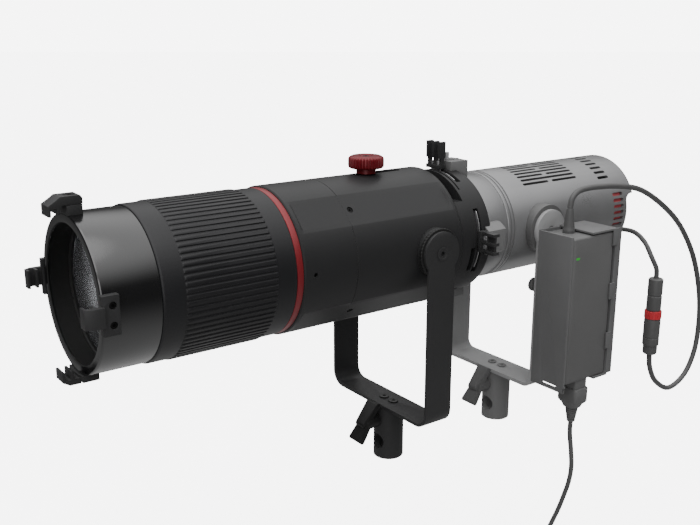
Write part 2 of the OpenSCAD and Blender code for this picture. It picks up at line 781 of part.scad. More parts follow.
front_yoke();
receiver();
receiver_screws();
tilt_bolts();
friction_discs();
clamp_lever();
clamp_stud();
front_tube();
lens_retainer();
front_lens();
frame_clips();
clip_screws();
top_latch();
zoom_ring();
red_ring();
zoom_carriage();
zoom_lens();
front_housing();
main_housing();
housing_screws();
tilt_bosses();
focus_carriage();
focus_lens();
focus_knob();
shutter_housing();
top_blade();
top_handle();
bottom_blade();
bottom_handle();
near_blade();
near_handle();
far_blade();
far_handle();
lamp_front_ring();
condenser_lens();
lamp_clips();
latch_pin();
lamp_shell();
led_board();
heat_sink();
fan_rotor();
rear_panel();
control_dial();
lamp_bosses();
lamp_yoke();
lamp_bolts();
lamp_receiver();
lamp_receiver_screws();
lamp_clamp_lever();
adapter_bracket();
bracket_knob();
power_adapter();
dc_lead();
dc_connector();
dc_tail();
ac_plug();
ac_cord();
ac_coil();
ac_tail();
mains_plug();
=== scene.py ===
"""Ellipsoidal spotlight with a coaxial lamp head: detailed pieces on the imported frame."""
import json
import math

import bmesh
import bpy
from mathutils import Matrix, Vector


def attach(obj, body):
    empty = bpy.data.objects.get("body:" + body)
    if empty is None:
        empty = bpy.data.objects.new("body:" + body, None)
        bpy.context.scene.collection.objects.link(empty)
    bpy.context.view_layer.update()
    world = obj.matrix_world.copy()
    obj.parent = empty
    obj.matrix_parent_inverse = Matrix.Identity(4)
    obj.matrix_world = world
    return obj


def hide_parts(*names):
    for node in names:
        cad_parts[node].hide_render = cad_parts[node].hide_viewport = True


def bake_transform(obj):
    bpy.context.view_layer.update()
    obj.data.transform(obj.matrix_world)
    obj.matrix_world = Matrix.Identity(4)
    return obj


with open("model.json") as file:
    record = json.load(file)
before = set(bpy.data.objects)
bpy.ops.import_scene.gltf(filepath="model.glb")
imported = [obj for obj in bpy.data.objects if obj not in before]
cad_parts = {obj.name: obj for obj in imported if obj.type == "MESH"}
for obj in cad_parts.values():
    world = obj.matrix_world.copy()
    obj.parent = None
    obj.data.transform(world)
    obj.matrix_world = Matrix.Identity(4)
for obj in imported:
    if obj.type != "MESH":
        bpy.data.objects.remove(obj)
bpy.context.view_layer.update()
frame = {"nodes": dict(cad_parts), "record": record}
MM = 0.001
ZC = 225.0          # height of the optical axis, mm
LAMP_Y = 151.5      # lamp pivot, mm
ACROSS = (1, 0, 0)
ALONG = (0, 1, 0)   # the optical axis
HEX = 0.577         # a hexagon's corner radius for each mm across its flats
NODES = frame["nodes"]

CAM_LENS = 46.63    # mm, on a 36 mm sensor
CAM_AT = (0.65706, -0.52813, 0.42827)
CAM_RIGHT = (0.5899, 0.8075, 0.0)
CAM_FORWARD = (-0.7796, 0.5695, -0.2607)


# -------------------- camera

def camera():
    """Camera at the photograph's viewing angle."""
    data = bpy.data.cameras.new("cam")
    data.lens = CAM_LENS
    data.sensor_width = 36.0
    data.clip_end = 20.0
    cam = bpy.data.objects.new("cam", data)
    bpy.context.scene.collection.objects.link(cam)
    right = Vector(CAM_RIGHT).normalized()
    fwd = Vector(CAM_FORWARD).normalized()
    up = right.cross(fwd)
    right = fwd.cross(up)
    m = Matrix((right, up, -fwd)).transposed().to_4x4()
    m.translation = Vector(CAM_AT)
    cam.matrix_world = m
    bpy.context.scene.camera = cam


camera()


# -------------------- materials

def new_node(t, kind, values=(), **attrs):
    """A shader node with its attributes and then its input values set."""
    nd = t.nodes.new("ShaderNode" + kind)
    for k, v in attrs.items():
        setattr(nd, k, v)
    for k, v in dict(values).items():
        nd.inputs[k].default_value = v
    return nd


def noise(t, vector, scale, detail=2.0):
    nd = new_node(t, "TexNoise", {"Scale": scale, "Detail": detail})
    t.links.new(vector, nd.inputs["Vector"])
    return nd.outputs["Fac"]


def remap(t, value, lo, hi, to_lo, to_hi, **attrs):
    nd = new_node(t, "MapRange", {"From Min": lo, "From Max": hi, "To Min": to_lo,
                                  "To Max": to_hi}, **attrs)
    t.links.new(value, nd.inputs["Value"])
    return nd.outputs[0]


def calc(t, operation, *terms):
    """A sum or product of two terms, each a socket or a number."""
    nd = new_node(t, "Math", operation=operation)
    for slot, term in zip(nd.inputs, terms):
        if isinstance(term, float):
            slot.default_value = term
        else:
            t.links.new(term, slot)
    return nd.outputs[0]


def blend_colours(t, a, b, factor):
    nd = new_node(t, "Mix", {"A": (*a, 1), "B": (*b, 1)}, data_type="RGBA")
    t.links.new(factor, nd.inputs["Factor"])
    return nd.outputs["Result"]


def new_mat(name):
    """A material, its node tree, its shader, and the object's own coordinates."""
    m = bpy.data.materials.new(name)
    m.use_nodes = True
    t = m.node_tree
    t.nodes.clear()
    out = new_node(t, "OutputMaterial")
    b = new_node(t, "BsdfPrincipled")
    t.links.new(b.outputs[0], out.inputs[0])
    return m, t, b, new_node(t, "TexCoord").outputs["Object"]


BLOTCH = 25.0       # scale of the slow blotches
BUMP_DEPTH = 0.0004     # metres
SPREAD = (0.6, 1.4)     # range of the blotches and the grain added together


def surface(name, color, rough, metallic, grain, bump, rough_var, specular=0.5, color_var=0.08,
            lines=None):
    """A moulded, painted or anodised finish. lines: (axis, per metre, depth) adds turning marks."""
    m, t, b, where = new_mat(name)
    # blotches and fine grain move the colour and the roughness a little either way
    fine = noise(t, where, grain, 3.0)
    both = calc(t, "ADD", noise(t, where, BLOTCH, 4.0), fine)
    tint = blend_colours(t, [c * (1 - color_var) for c in color],
                         [min(1, c * (1 + color_var)) for c in color],
                         remap(t, both, *SPREAD, 0.0, 1.0))
    t.links.new(tint, b.inputs["Base Color"])
    t.links.new(remap(t, both, *SPREAD, max(0.03, rough - rough_var),
                      min(1.0, rough + rough_var)), b.inputs["Roughness"])
    height = fine
    if lines:
        axis, per_m, depth = lines
        sep = new_node(t, "SeparateXYZ")
        t.links.new(where, sep.inputs[0])
        comb = new_node(t, "CombineXYZ")
        t.links.new(calc(t, "MULTIPLY", sep.outputs[axis], per_m), comb.inputs["X"])
        ring = noise(t, comb.outputs[0], 1.0)
        height = calc(t, "ADD", calc(t, "MULTIPLY", ring, depth), height)
    bp = new_node(t, "Bump", {"Strength": bump, "Distance": BUMP_DEPTH})
    t.links.new(height, bp.inputs["Height"])
    t.links.new(bp.outputs[0], b.inputs["Normal"])
    b.inputs["Metallic"].default_value = metallic
    b.inputs["Specular IOR Level"].default_value = specular
    return m


def glass(name):
    """Coated optical glass: clear, with a faint tint that varies slowly over the face."""
    m, t, b, where = new_mat(name)
    fac = noise(t, where, 6.0)
    t.links.new(blend_colours(t, (0.30, 0.31, 0.32), (0.42, 0.43, 0.45), fac),
                b.inputs["Base Color"])
    t.links.new(remap(t, fac, 0.0, 1.0, 0.2, 0.27), b.inputs["Roughness"])
    b.inputs["Transmission Weight"].default_value = 0.92
    b.inputs["IOR"].default_value = 1.5
    return m


def glow(name, color, strength):
    """A small lit lens: the colour is brightest where a noise says so."""
    m, t, b, where = new_mat(name)
    tint = blend_colours(t, color, [min(1, c * 1.3) for c in color], noise(t, where, 400.0))
    t.links.new(tint, b.inputs["Base Color"])
    t.links.new(tint, b.inputs["Emission Color"])
    b.inputs["Emission Strength"].default_value = strength
    b.inputs["Roughness"].default_value = 0.3
    return m


# name, colour, roughness, metallic, grain, bump, spread of roughness, specular if not 0.5
FINISHES = {
    "body": ("body_black", (0.0175, 0.0175, 0.018), 0.42, 0.0, 2600, 0.05, 0.04, 0.17),
    "tube": ("tube_black", (0.0045, 0.0045, 0.0048), 0.15, 0.0, 900, 0.03, 0.04, 0.8),
    "inside": ("inside_black", (0.004, 0.004, 0.004), 0.6, 0.0, 900, 0.05, 0.05, 0.25),
    "zoom": ("zoom_black", (0.0095, 0.0095, 0.0105), 0.44, 0.0, 2600, 0.05, 0.04, 0.25),
    "yoke": ("yoke_black", (0.022, 0.022, 0.0225), 0.48, 0.0, 1800, 0.12, 0.05, 0.25),
    "plastic": ("plastic_black", (0.009, 0.009, 0.009), 0.42, 0.0, 1500, 0.1, 0.06, 0.25),
    "grip": ("grip_black", (0.021, 0.021, 0.0215), 0.42, 0.0, 1500, 0.1, 0.06, 0.35),
    "red": ("red_anodised", (0.165, 0.013, 0.017), 0.36, 0.25, 2200, 0.05, 0.05, 0.4),
    "knob": ("knob_red", (0.125, 0.005, 0.009), 0.36, 0.25, 2200, 0.05, 0.05, 0.4),
    "steel": ("blade_steel", (0.72, 0.72, 0.73), 0.4, 1.0, 700, 0.06, 0.03),
    "screw": ("screw_black", (0.010, 0.010, 0.010), 0.34, 0.3, 2500, 0.05, 0.06, 0.4),
    "lamp": ("lamp_grey", (0.185, 0.185, 0.188), 0.3, 0.45, 2400, 0.04, 0.04),
    "lamp_dark": ("lamp_dark_grey", (0.12, 0.12, 0.12), 0.45, 0.0, 2000, 0.06, 0.05, 0.3),
    "lyoke": ("lyoke_grey", (0.25, 0.25, 0.252), 0.48, 0.0, 1800, 0.1, 0.05, 0.3),
    "tray": ("tray_grey", (0.097, 0.097, 0.098), 0.48, 0.0, 1800, 0.1, 0.05, 0.3),
    "gplastic": ("grey_plastic", (0.075, 0.075, 0.075), 0.5, 0.0, 1500, 0.12, 0.06, 0.3),
    "adapter": ("adapter_grey", (0.088, 0.088, 0.088), 0.55, 0.0, 1500, 0.16, 0.05, 0.3),
    "cord": ("cord_grey", (0.066, 0.066, 0.066), 0.5, 0.0, 1200, 0.12, 0.06, 0.3),
    "plug": ("connector_grey", (0.066, 0.066, 0.066), 0.45, 0.0, 1400, 0.1, 0.06, 0.3),
    "conn_red": ("connector_red", (0.42, 0.02, 0.028), 0.4, 0.0, 1400, 0.06, 0.05),
    "vent_red": ("vent_red", (0.42, 0.06, 0.07), 0.5, 0.0, 1500, 0.06, 0.05),
    "sink": ("sink_black", (0.012, 0.012, 0.013), 0.45, 0.4, 1500, 0.06, 0.05),
    "phosphor": ("phosphor", (0.8, 0.6, 0.12), 0.5, 0.0, 1500, 0.08, 0.05),
    "brass": ("prong_brass", (0.72, 0.56, 0.28), 0.28, 1.0, 1500, 0.05, 0.06),
    "pit": ("screw_pit_black", (0.003, 0.003, 0.003), 0.5, 0.0, 1500, 0.05, 0.05, 0.12),
}
TURNED = {"tube": ("Y", 2600.0, 5.0), "inside": ("Y", 1200.0, 3.0), "red": ("Y", 2500.0, 1.0),
          "steel": ("X", 1800.0, 0.3)}
MAT = {k: surface(*v, lines=TURNED.get(k)) for k, v in FINISHES.items()}
MAT["glass"] = glass("lens_glass")
MAT["led_green"] = glow("led_green", (0.02, 0.27, 0.022), 0.32)


# -------------------- mesh building

def place(bm, name, mat, body, nodes=(), angle=32.0, weld=None):
    """Turns a bmesh (in mm) into a piece that rides on a body."""
    if weld:
        bmesh.ops.remove_doubles(bm, verts=bm.verts, dist=weld)
    bmesh.ops.scale(bm, vec=(MM, MM, MM), verts=bm.verts)
    me = as_mesh(bm, name)
    ob = linked(name, me)
    for m in (mat if isinstance(mat, list) else [mat]):
        me.materials.append(MAT[m])
    me.shade_smooth()
    me.set_sharp_from_angle(angle=math.radians(angle))
    if body:
        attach(ob, body)
    if nodes:
        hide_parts(*nodes)
    return ob


def as_mesh(bm, name="tmp"):
    """The bmesh as a mesh with its faces turned outward; the bmesh is freed."""
    bmesh.ops.recalc_face_normals(bm, faces=bm.faces)
    me = bpy.data.meshes.new(name)
    bm.to_mesh(me)
    bm.free()
    return me


def linked(name, data):
    ob = bpy.data.objects.new(name, data)
    bpy.context.scene.collection.objects.link(ob)
    return ob


def discard(ob):
    me = ob.data
    bpy.data.objects.remove(ob)
    bpy.data.meshes.remove(me)


def applied(ob):
    """A temporary object's mesh with its modifiers applied, as a bmesh; the object is removed."""
    dg = bpy.context.evaluated_depsgraph_get()
    me = bpy.data.meshes.new_from_object(ob.evaluated_get(dg))
    out = bmesh.new()
    out.from_mesh(me)
    bpy.data.meshes.remove(me)
    discard(ob)
    return out


def join(parts):
    out = bmesh.new()
    for p in parts:
        me = as_mesh(p)
        out.from_mesh(me)
        bpy.data.meshes.remove(me)
    return out


def boolean(bm, cutters, op="DIFFERENCE"):
    """bm combined with a list of bmeshes by one exact boolean; returns a bmesh."""
    base = linked("tmp", as_mesh(bm))
    tool = linked("tmp", as_mesh(join(cutters)))
    mod = base.modifiers.new("b", "BOOLEAN")
    mod.operation = op
    mod.solver = "EXACT"
    mod.use_self = True
    mod.object = tool
    out = applied(base)
    discard(tool)
    return out


def bevelled(bm, width, segments=2, angle=30.0):
    """Rounds the sharp edges of a bmesh in mm."""
    ob = linked("tmp", as_mesh(bm))
    mod = ob.modifiers.new("v", "BEVEL")
    mod.width = width
    mod.segments = segments
    mod.limit_method = "ANGLE"
    mod.angle_limit = math.radians(angle)
    mod.use_clamp_overlap = True
    mod.harden_normals = False
    return applied(ob)


def moved(bm, m):
    bmesh.ops.transform(bm, matrix=m, verts=bm.verts)
    return bm


def box(lo, hi):
    bm = bmesh.new()
    bmesh.ops.create_cube(bm, size=1.0)
    c = [(a + b) / 2 for a, b in zip(lo, hi)]
    s = [b - a for a, b in zip(lo, hi)]
    for v in bm.verts:
        v.co = Vector((c[0] + v.co.x * s[0], c[1] + v.co.y * s[1], c[2] + v.co.z * s[2]))
    return bm


def rbox(lo, hi, r=0.6, seg=3):
    bm = box(lo, hi)
    bmesh.ops.bevel(bm, geom=bm.edges[:], offset=r, segments=seg, affect="EDGES", profile=0.5)
    return bm


def fillet(prof, r, seg=4, closed=True):
    """Rounds the corners of a 2D outline; a point may carry its own radius as a third value."""
    out = []
    n = len(prof)
    for i, p in enumerate(prof):
        rad = p[2] if len(p) > 2 else r
        if rad <= 0 or (not closed and i in (0, n - 1)):
            out.append((p[0], p[1]))
            continue
        a = Vector(prof[i - 1][:2]) - Vector(p[:2])
        b = Vector(prof[(i + 1) % n][:2]) - Vector(p[:2])
        ang = a.angle(b)
        if ang > math.radians(176):
            out.append((p[0], p[1]))
            continue
        d = min(rad / math.tan(ang / 2), a.length * 0.45, b.length * 0.45)
        rad = d * math.tan(ang / 2)
        bis = (a.normalized() + b.normalized()).normalized()
        c = Vector(p[:2]) + bis * (rad / math.sin(ang / 2))
        s = Vector(p[:2]) + a.normalized() * d - c
        e = Vector(p[:2]) + b.normalized() * d - c
        sweep = s.angle(e)
        sign = 1 if s.x * e.y - s.y * e.x > 0 else -1
        for k in range(seg + 1):
            q = sign * sweep * k / seg
            out.append((c.x + s.x * math.cos(q) - s.y * math.sin(q),
                        c.y + s.x * math.sin(q) + s.y * math.cos(q)))
    return out


def loops_to_bm(rings, close_v=False, caps=False):
    bm = bmesh.new()
    vs = [[bm.verts.new(p) for p in ring] for ring in rings]
    n = len(rings[0])
    last = len(rings) if close_v else len(rings) - 1
    for j in range(last):
        a, b = vs[j], vs[(j + 1) % len(rings)]
        for i in range(n):
            k = (i + 1) % n
            bm.faces.new((a[i], a[k], b[k], b[i]))
    if caps:
        bm.faces.new(vs[0])
        bm.faces.new(list(reversed(vs[-1])))
    return bm


def lathe(prof, n=160, rfun=None, angles=None):
    """Revolves a closed outline of (radius, y) about the optical axis."""
    angles = angles or [360.0 * i / n for i in range(n)]
    rings = []
    for r, y in prof:
        ring = []
        for a in angles:
            q = rfun(r, a, y) if rfun else r
            ring.append((q * math.cos(math.radians(a)), y, ZC + q * math.sin(math.radians(a))))
        rings.append(ring)
    return loops_to_bm(rings, close_v=True)


def spin_z(prof, cx, cy, n=64, rfun=None):
    """Revolves an open outline of (radius, z) about an upright axis and caps it."""
    rings = []
    for r, z in prof:
        ring = []
        for i in range(n):
            q = rfun(r, 360.0 * i / n, z) if rfun else r
            t = 2 * math.pi * i / n
            ring.append((q * math.cos(t) + cx, q * math.sin(t) + cy, z))
        rings.append(ring)
    return loops_to_bm(rings, caps=True)


def spin(prof, origin, direction, n=48, rfun=None):
    """Revolves an open outline of (radius, distance) about any axis through origin."""
    bm = spin_z(prof, 0, 0, n, rfun)
    d = Vector(direction).normalized()
    rot = d.to_track_quat("Z", "Y").to_matrix().to_4x4()
    return moved(bm, Matrix.Translation(Vector(origin)) @ rot)


def at(a):
    """Local frame: +X radial, +Y axial, +Z round the axis, turned to angle a."""
    return Matrix.Translation((0, 0, ZC)) @ Matrix.Rotation(-math.radians(a), 4, "Y")


def level(y, z):
    """Turns an upright piece about X to lie along Y, at the given place."""
    return Matrix.Translation((0, y, z)) @ Matrix.Rotation(math.pi / 2, 4, "X")


def prism(outline, lo, hi, plane):
    """Extrudes an outline. plane 'xz' runs along Y, 'yz' along X, 'xy' along Z."""
    put = {"xz": lambda u, v, w: (u, w, v), "yz": lambda u, v, w: (w, u, v),
           "xy": lambda u, v, w: (u, v, w)}[plane]
    return loops_to_bm([[put(u, v, w) for u, v in outline] for w in (lo, hi)], caps=True)


def circle(cx, cy, r, n=48, a0=0.0, a1=360.0):
    full = abs(a1 - a0) >= 360
    m = n if full else n + 1
    return [(cx + r * math.cos(math.radians(a0 + (a1 - a0) * i / n)),
             cy + r * math.sin(math.radians(a0 + (a1 - a0) * i / n))) for i in range(m)]


def slot_outline(cx, cy, length, width, n=10):
    """A stadium along the first axis."""
    h = (length - width) / 2
    return circle(cx + h, cy, width / 2, n, -90, 90) + circle(cx - h, cy, width / 2, n, 90, 270)


def hex_socket(origin, direction, af=2.5, depth=2.0):
    """A six-sided pit, to cut out of a screw head."""
    return spin([(af * HEX, -depth), (af * HEX, 0.6)], origin, direction, 6)


def refine(node, mat, width, segments, angle, name):
    """The node's own shape with its edges rounded, as a new piece that replaces it."""
    src = NODES[node]
    bm = bmesh.new()
    bm.from_mesh(src.data)
    bmesh.ops.transform(bm, matrix=src.matrix_world, verts=bm.verts)
    bmesh.ops.scale(bm, vec=(1 / MM, 1 / MM, 1 / MM), verts=bm.verts)
    bmesh.ops.remove_doubles(bm, verts=bm.verts, dist=0.003)
    bmesh.ops.dissolve_limit(bm, angle_limit=math.radians(0.6), verts=bm.verts, edges=bm.edges,
                             use_dissolve_boundaries=False)
    bm = bevelled(bm, width, segments, angle)
    place(bm, name, mat, BODY_OF[node], (node,))


BODY_OF = {n: b for b, names in frame["record"]["behaviour"]["bodies"].items() for n in names}


# -------------------- cords

def catmull(pts, per=6):
    """A smooth line through the points."""
    p = [Vector(q) for q in pts]
    out = []
    for i in range(len(p) - 1):
        a, b, c, d = p[max(i - 1, 0)], p[i], p[i + 1], p[min(i + 2, len(p) - 1)]
        for k in range(per):
            t = k / per
            out.append(0.5 * (2 * b + (c - a) * t + (2 * a - 5 * b + 4 * c - d) * t * t
                              + (3 * b - a - 3 * c + d) * t * t * t))
    out.append(p[-1])
    return out


def sweep(path, r, sides=14):
    """A tube of radius r along a line."""
    t = []
    for i in range(len(path)):
        t.append((path[min(i + 1, len(path) - 1)] - path[max(i - 1, 0)]).normalized())
    n = t[0].orthogonal().normalized()
    rings = []
    for i, p in enumerate(path):
        if i:
            n = (n - t[i] * n.dot(t[i])).normalized()
        b = t[i].cross(n)
        rings.append([p + r * (math.cos(2 * math.pi * k / sides) * n
                               + math.sin(2 * math.pi * k / sides) * b) for k in range(sides)])
    return loops_to_bm(rings, caps=True)


def cord_piece(name, path, d, body, nodes, **facts):
    bm = sweep(path, d / 2)
    bends = facts.pop("blend", None)
    ob = place(bm, name, "cord", None if bends else body, nodes, 60)
    if bends:
        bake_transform(ob)
    return ob


DC_ROUTE = [(156, 249), (158, 258), (165, 264), (176, 266), (194, 266), (230, 263), (266, 255),
            (306, 234), (341, 207), (371, 169), (390, 126), (397, 87), (394, 50), (378, 23),
            (349, 13), (322, 28), (309, 48), (306, 65)]
dc_path = catmull([(84, y, z) for y, z in DC_ROUTE], 5)
TAIL_ROUTE = [(25, 287.2, 196), (25.2, 291.5, 196.2), (28, 299.5, 197.3), (36, 306.5, 198.5),
              (50, 309, 197), (68, 303, 190), (79, 301, 177), (83.6, 304.6, 165), (84, 306, 158.5),
              (84, 306, 153)]
tail_path = catmull(TAIL_ROUTE, 5)
COIL = (42.0, 165.0, -160.0)
AC_ROUTE = [(95, 165, 26), (95, 165, 12), (98, 165, -6), (100, 165, -24), (98, 165, -42),
            (93, 165, -60), (86.5, 165, -80), (79, 163, -102), (72.5, 158.5, -124),
            (69.5, 155.0, -143), (69.36, 155.0, -158)]


def step(t):
    t = max(0.0, min(1.0, t))
    return t * t * (3 - 2 * t)


def coil_points():
    """Four turns outside, four turns back inside them, and the end let out below."""
    out = []
    turns, per = 8, 24
    for i in range(1, turns * per + 1):
        q = i / per                      # turns so far
        r = 27.35 - 5.05 * step((q - 3.86) / 0.28)
        y = 155.0 + 5.0 * (q if q <= 4 else 8 - q) - 5.2 * step((q - 7.72) / 0.26)
        a = -2 * math.pi * q
        out.append(Vector((COIL[0] + r * math.cos(a), y, COIL[2] + r * math.sin(a))))
    return out


ac_path = catmull(AC_ROUTE, 4)[:-1] + [Vector((69.35, 155.0, -159.5))] + coil_points()
ac_path += catmull([(64.3, 149.82, -163), (64.3, 149.8, -175), (64.3, 149.8, -190),
                    (64.3, 149.8, -202)], 3)


# -------------------- lens barrel

def ring_piece(name, prof, mat, body, nodes, n, r, inner=None):
    """A turned piece; inner = (radius, material) puts a second finish inside that radius."""
    bm = lathe(fillet(prof, r, 3), n)
    mats = [mat]
    if inner:
        mats.append(inner[1])
        for f in bm.faces:
            c = f.calc_center_median()
            if math.hypot(c.x, c.z - ZC) < inner[0]:
                f.material_index = 1
    place(bm, name, mats, body, nodes, 30)


ring_piece("lens_tube", [(61.6, -310.5), (62.6, -310.1), (63, -309.1), (63, -264.5),
                         (61, -264.5), (61, -140.92), (56, -140.92), (56, -279), (52, -279),
                         (52, -281.9), (56, -281.9), (56, -308), (55, -309.5),
                         (55.6, -310.5)],
           "tube", "barrel", ("front_tube",), 288, 0.25,
           inner=(56.3, "inside"))


def retainer():
    """Threaded ring that holds the front lens, with two pairs of spanner notches."""
    bm = lathe(fillet([(55.9, -292.2), (55.9, -288.95), (54.2, -288.95), (54.2, -291.2),
                       (54.9, -292.2)], 0.2, 3), 240)
    cut = []
    for a in (20, 110, 200, 290):
        cut.append(moved(box((54.4, -293, -1.2), (57, -291, 1.2)), at(a)))
    bm = boolean(bm, cut)
    place(bm, "lens_retainer_ring", "inside", "barrel",
          ("lens_retainer",), 25)


retainer()


def lens_solid(r, y0, y1, bulge, n=160, rings=28):
    """A plano-convex lens with a small ground chamfer at its rim."""
    c = (r * r + bulge * bulge) / (2 * bulge)
    prof = [(0.05, y1), (r * 0.5, y1), (r - 0.5, y1), (r, y1 - 0.5)]
    for i in range(rings + 1):
        q = r * (rings - i) / rings
        y = y0 - bulge + c - math.sqrt(c * c - q * q)
        if i == 0:
            prof.append((r, y + 0.6))
            q = r - 0.5
            y = y0 - bulge + c - math.sqrt(c * c - q * q)
        prof.append((max(q, 0.05), y))
    rings_ = [[(q * math.cos(2 * math.pi * k / n), y, ZC + q * math.sin(2 * math.pi * k / n))
               for k in range(n)] for q, y in prof]
    return loops_to_bm(rings_, caps=True)


place(lens_solid(55.85, -288.5, -282, 5.6), "front_lens_element", "glass", "barrel",
      ("front_lens",), 25)


RIB_N = 80
RIB_SHAPE = [(0.0, 0.80), (0.05, 1.0), (0.53, 1.0), (0.58, 0.80), (0.62, 0.12), (0.66, 0.0),
             (0.92, 0.0), (0.96, 0.12)]


def zoom_radius(r, a, y):
    if r < 64.5:
        return r
    p = (a / (360.0 / RIB_N)) % 1.0
    h = min(RIB_SHAPE, key=lambda s: min(abs(s[0] - p), 1 - abs(s[0] - p)))[1]
    e = step((y + 245.6) / 1.5) * step((-165.0 - y) / 1.5)
    e = math.sqrt(e)
    base = 64.2 - 0.2 * step((y + 250) / 80)
    return base + (65.0 - base) * h * e


def zoom_piece():
    outer = [(63.3, -264.2), (63.6, -264.0), (64.15, -262.7), (64.2, -262.3), (64.2, -246.6),
             (64.2, -245.7)]
    ys = [-245.6, -245.3, -245.0, -244.6, -244.1, -243.0, -205.0, -167.6, -166.5, -166.0,
          -165.6, -165.3, -165.0]
    outer += [(65.0, y) for y in ys]
    outer += [(64.0, -164.9), (64.0, -147.6), (63.7, -147.3)]
    prof = outer + [(61.6, -147.3), (61.3, -147.6), (61.3, -263.9), (61.6, -264.2)]
    angles = [(i + s[0]) * 360.0 / RIB_N for i in range(RIB_N) for s in RIB_SHAPE]
    bm = lathe(prof, rfun=zoom_radius, angles=angles)
    place(bm, "zoom_grip", "zoom", "zoom", ("zoom_ring",), 35)


zoom_piece()
ring_piece("red_index_ring", [(64, -146.95), (64, -141), (61.05, -141), (61.05, -146.95)],
           "red", "barrel", ("red_ring",), 256, 0.35)


# -------------------- housing

FLATS = (45.3, 134.7, 225.3, 314.7)
HALF = 14.15


def flat_angles(n=200):
    """Even steps round the axis, with close pairs where a flat begins and ends."""
    a = [360.0 * i / n for i in range(n)]
    marks = [(f + s * HALF) % 360 for f in FLATS for s in (-1, 1)]
    a = [x for x in a if all(abs(x - m) > 0.9 for m in marks)]
    for m in marks:
        a += [m - 0.35, m, m + 0.35]
    return sorted(x % 360 for x in a)


def with_flats(y_lo, y_hi):
    """Radius cut down to the four flats, which run out on slopes at both ends."""
    def f(r, a, y):
        if r < 63.2:
            return r
        if y < y_lo:
            d = 63.4 + min(2.0, y_lo - y)
        elif y > y_hi:
            d = 63.4 + min(2.0, y - y_hi)
        else:
            d = 63.4
        for c in FLATS:
            q = abs((a - c + 180) % 360 - 180)
            if q < 16:
                r = min(r, d / math.cos(math.radians(q)))
        return r
    return f


def front_body():
    prof = fillet([(64.4, -140.9), (65.4, -139.9, 0.0), (65.4, -136.7, 0.0),
                   (65.4, -134.7, 0.0), (65.4, -87.5, 0.0), (64.9, -87.06, 0.1),
                   (61, -87.06), (61, -132), (57, -132), (57, -140.9)], 0.3, 3)
    bm = lathe(prof, rfun=with_flats(-134.7, 60), angles=flat_angles())
    bm = boolean(bm, [moved(spin([(1.85, -6), (1.85, -0.35), (2.15, 0.5)], (65.4, -130.1, 0),
                                 ACROSS, 40), at(0))])
    place(bm, "front_barrel_housing", "body", "barrel",
          ("front_housing",), 12.0, 0.001)


front_body()


def radial_screw(a, y, r0):
    """Countersunk head seen end-on, its face at radius r0, with a hex pit."""
    head_r = 2.6
    prof = [(1.4, -1.6), (head_r * 0.62, -1.0), (head_r, -0.25), (head_r, -0.05),
            (head_r - 0.15, 0.08)]
    bm = spin(prof, (r0, y, 0), ACROSS, 40)
    bm = boolean(bm, [hex_socket((r0, y, 0), ACROSS, 2.0, 0.9)])
    return moved(bm, at(a))


def main_body():
    prof = fillet([(65.4, -86.5, 0.0), (65.4, 26.8, 0.0), (65.4, 28.8, 0.0),
                   (65.4, 31.5, 0.6), (62.4, 34.95), (52, 34.95), (52, 32.5), (61, 32.5),
                   (61, -86.98), (64.9, -86.98, 0.1)], 0.3, 3)
    bm = lathe(prof, rfun=with_flats(-200, 26.8), angles=flat_angles())
    cut = [prism([(x, y) for y, x in slot_outline(-17.75, 0, 52.5, 8, 12)], ZC + 50, ZC + 80,
                 "xy")]
    for a in FLATS:
        cut.append(moved(spin([(1.6, -3), (1.6, -1.35), (2.95, -1.35), (2.95, 0.0),
                               (3.25, 0.9)], (63.4, -80.8, 0), ACROSS, 40), at(a)))
    for s in (-1, 1):
        cut.append(spin([(4.05, 0), (4.05, 30)], (s * 50, 0, ZC), (s, 0, 0), 40))
    bm = boolean(bm, cut)
    place(bm, "barrel_housing", "body", "barrel", ("main_housing",),
          12.0, 0.001)
    scr = [radial_screw(a, -80.8, 62.55) for a in FLATS]
    scr.append(moved(boolean(spin([(1.75, -2.0), (1.75, -0.6), (1.5, -0.4)],
                                  (63.8, -130.1, 0), ACROSS, 32),
                             [hex_socket((63.4, -130.1, 0), ACROSS, 1.5, 0.9)]), at(0)))
    place(join(scr), "housing_screw_heads", "pit", "barrel",
          ("housing_screws",), 30)


main_body()


# -------------------- lights and floor

BACKDROP = 7.0          # what the camera sees behind the object
ROOM = (0.11, 2.9)      # light from eye level, and from straight above
UNDER = 0.8             # light from straight below
FLOOR_GLOW = 4.6
SUN_POWER = 1.6
FILL_POWER = 16         # W
FILL_SIZE = 1.4         # m


def aimed(name, kind, energy, direction):
    """A light of the given kind that shines along a direction."""
    data = bpy.data.lights.new(name, kind)
    data.energy = energy
    ob = linked(name, data)
    ob.rotation_euler = Vector(direction).to_track_quat("-Z", "Y").to_euler()
    return ob


def room():
    """Pale room: soft light from above, dim at eye level, with a bright backdrop."""
    w = bpy.data.worlds.new("studio")
    bpy.context.scene.world = w
    w.use_nodes = True
    t = w.node_tree
    t.nodes.clear()
    out = new_node(t, "OutputWorld")
    mix = new_node(t, "MixShader")
    light = new_node(t, "Background")
    seen = new_node(t, "Background", {0: (1, 1, 1, 1), 1: BACKDROP})
    sep = new_node(t, "SeparateXYZ")
    t.links.new(new_node(t, "TexCoord").outputs["Generated"], sep.inputs[0])
    up = sep.outputs["Z"]
    above = remap(t, up, 0.2, 0.85, *ROOM, interpolation_type="SMOOTHSTEP")
    below = remap(t, up, -0.05, -0.9, 0.0, UNDER, interpolation_type="SMOOTHSTEP")
    t.links.new(calc(t, "ADD", above, below), light.inputs[1])
    t.links.new(new_node(t, "LightPath").outputs["Is Camera Ray"], mix.inputs[0])
    t.links.new(light.outputs[0], mix.inputs[1])
    t.links.new(seen.outputs[0], mix.inputs[2])
    t.links.new(mix.outputs[0], out.inputs[0])


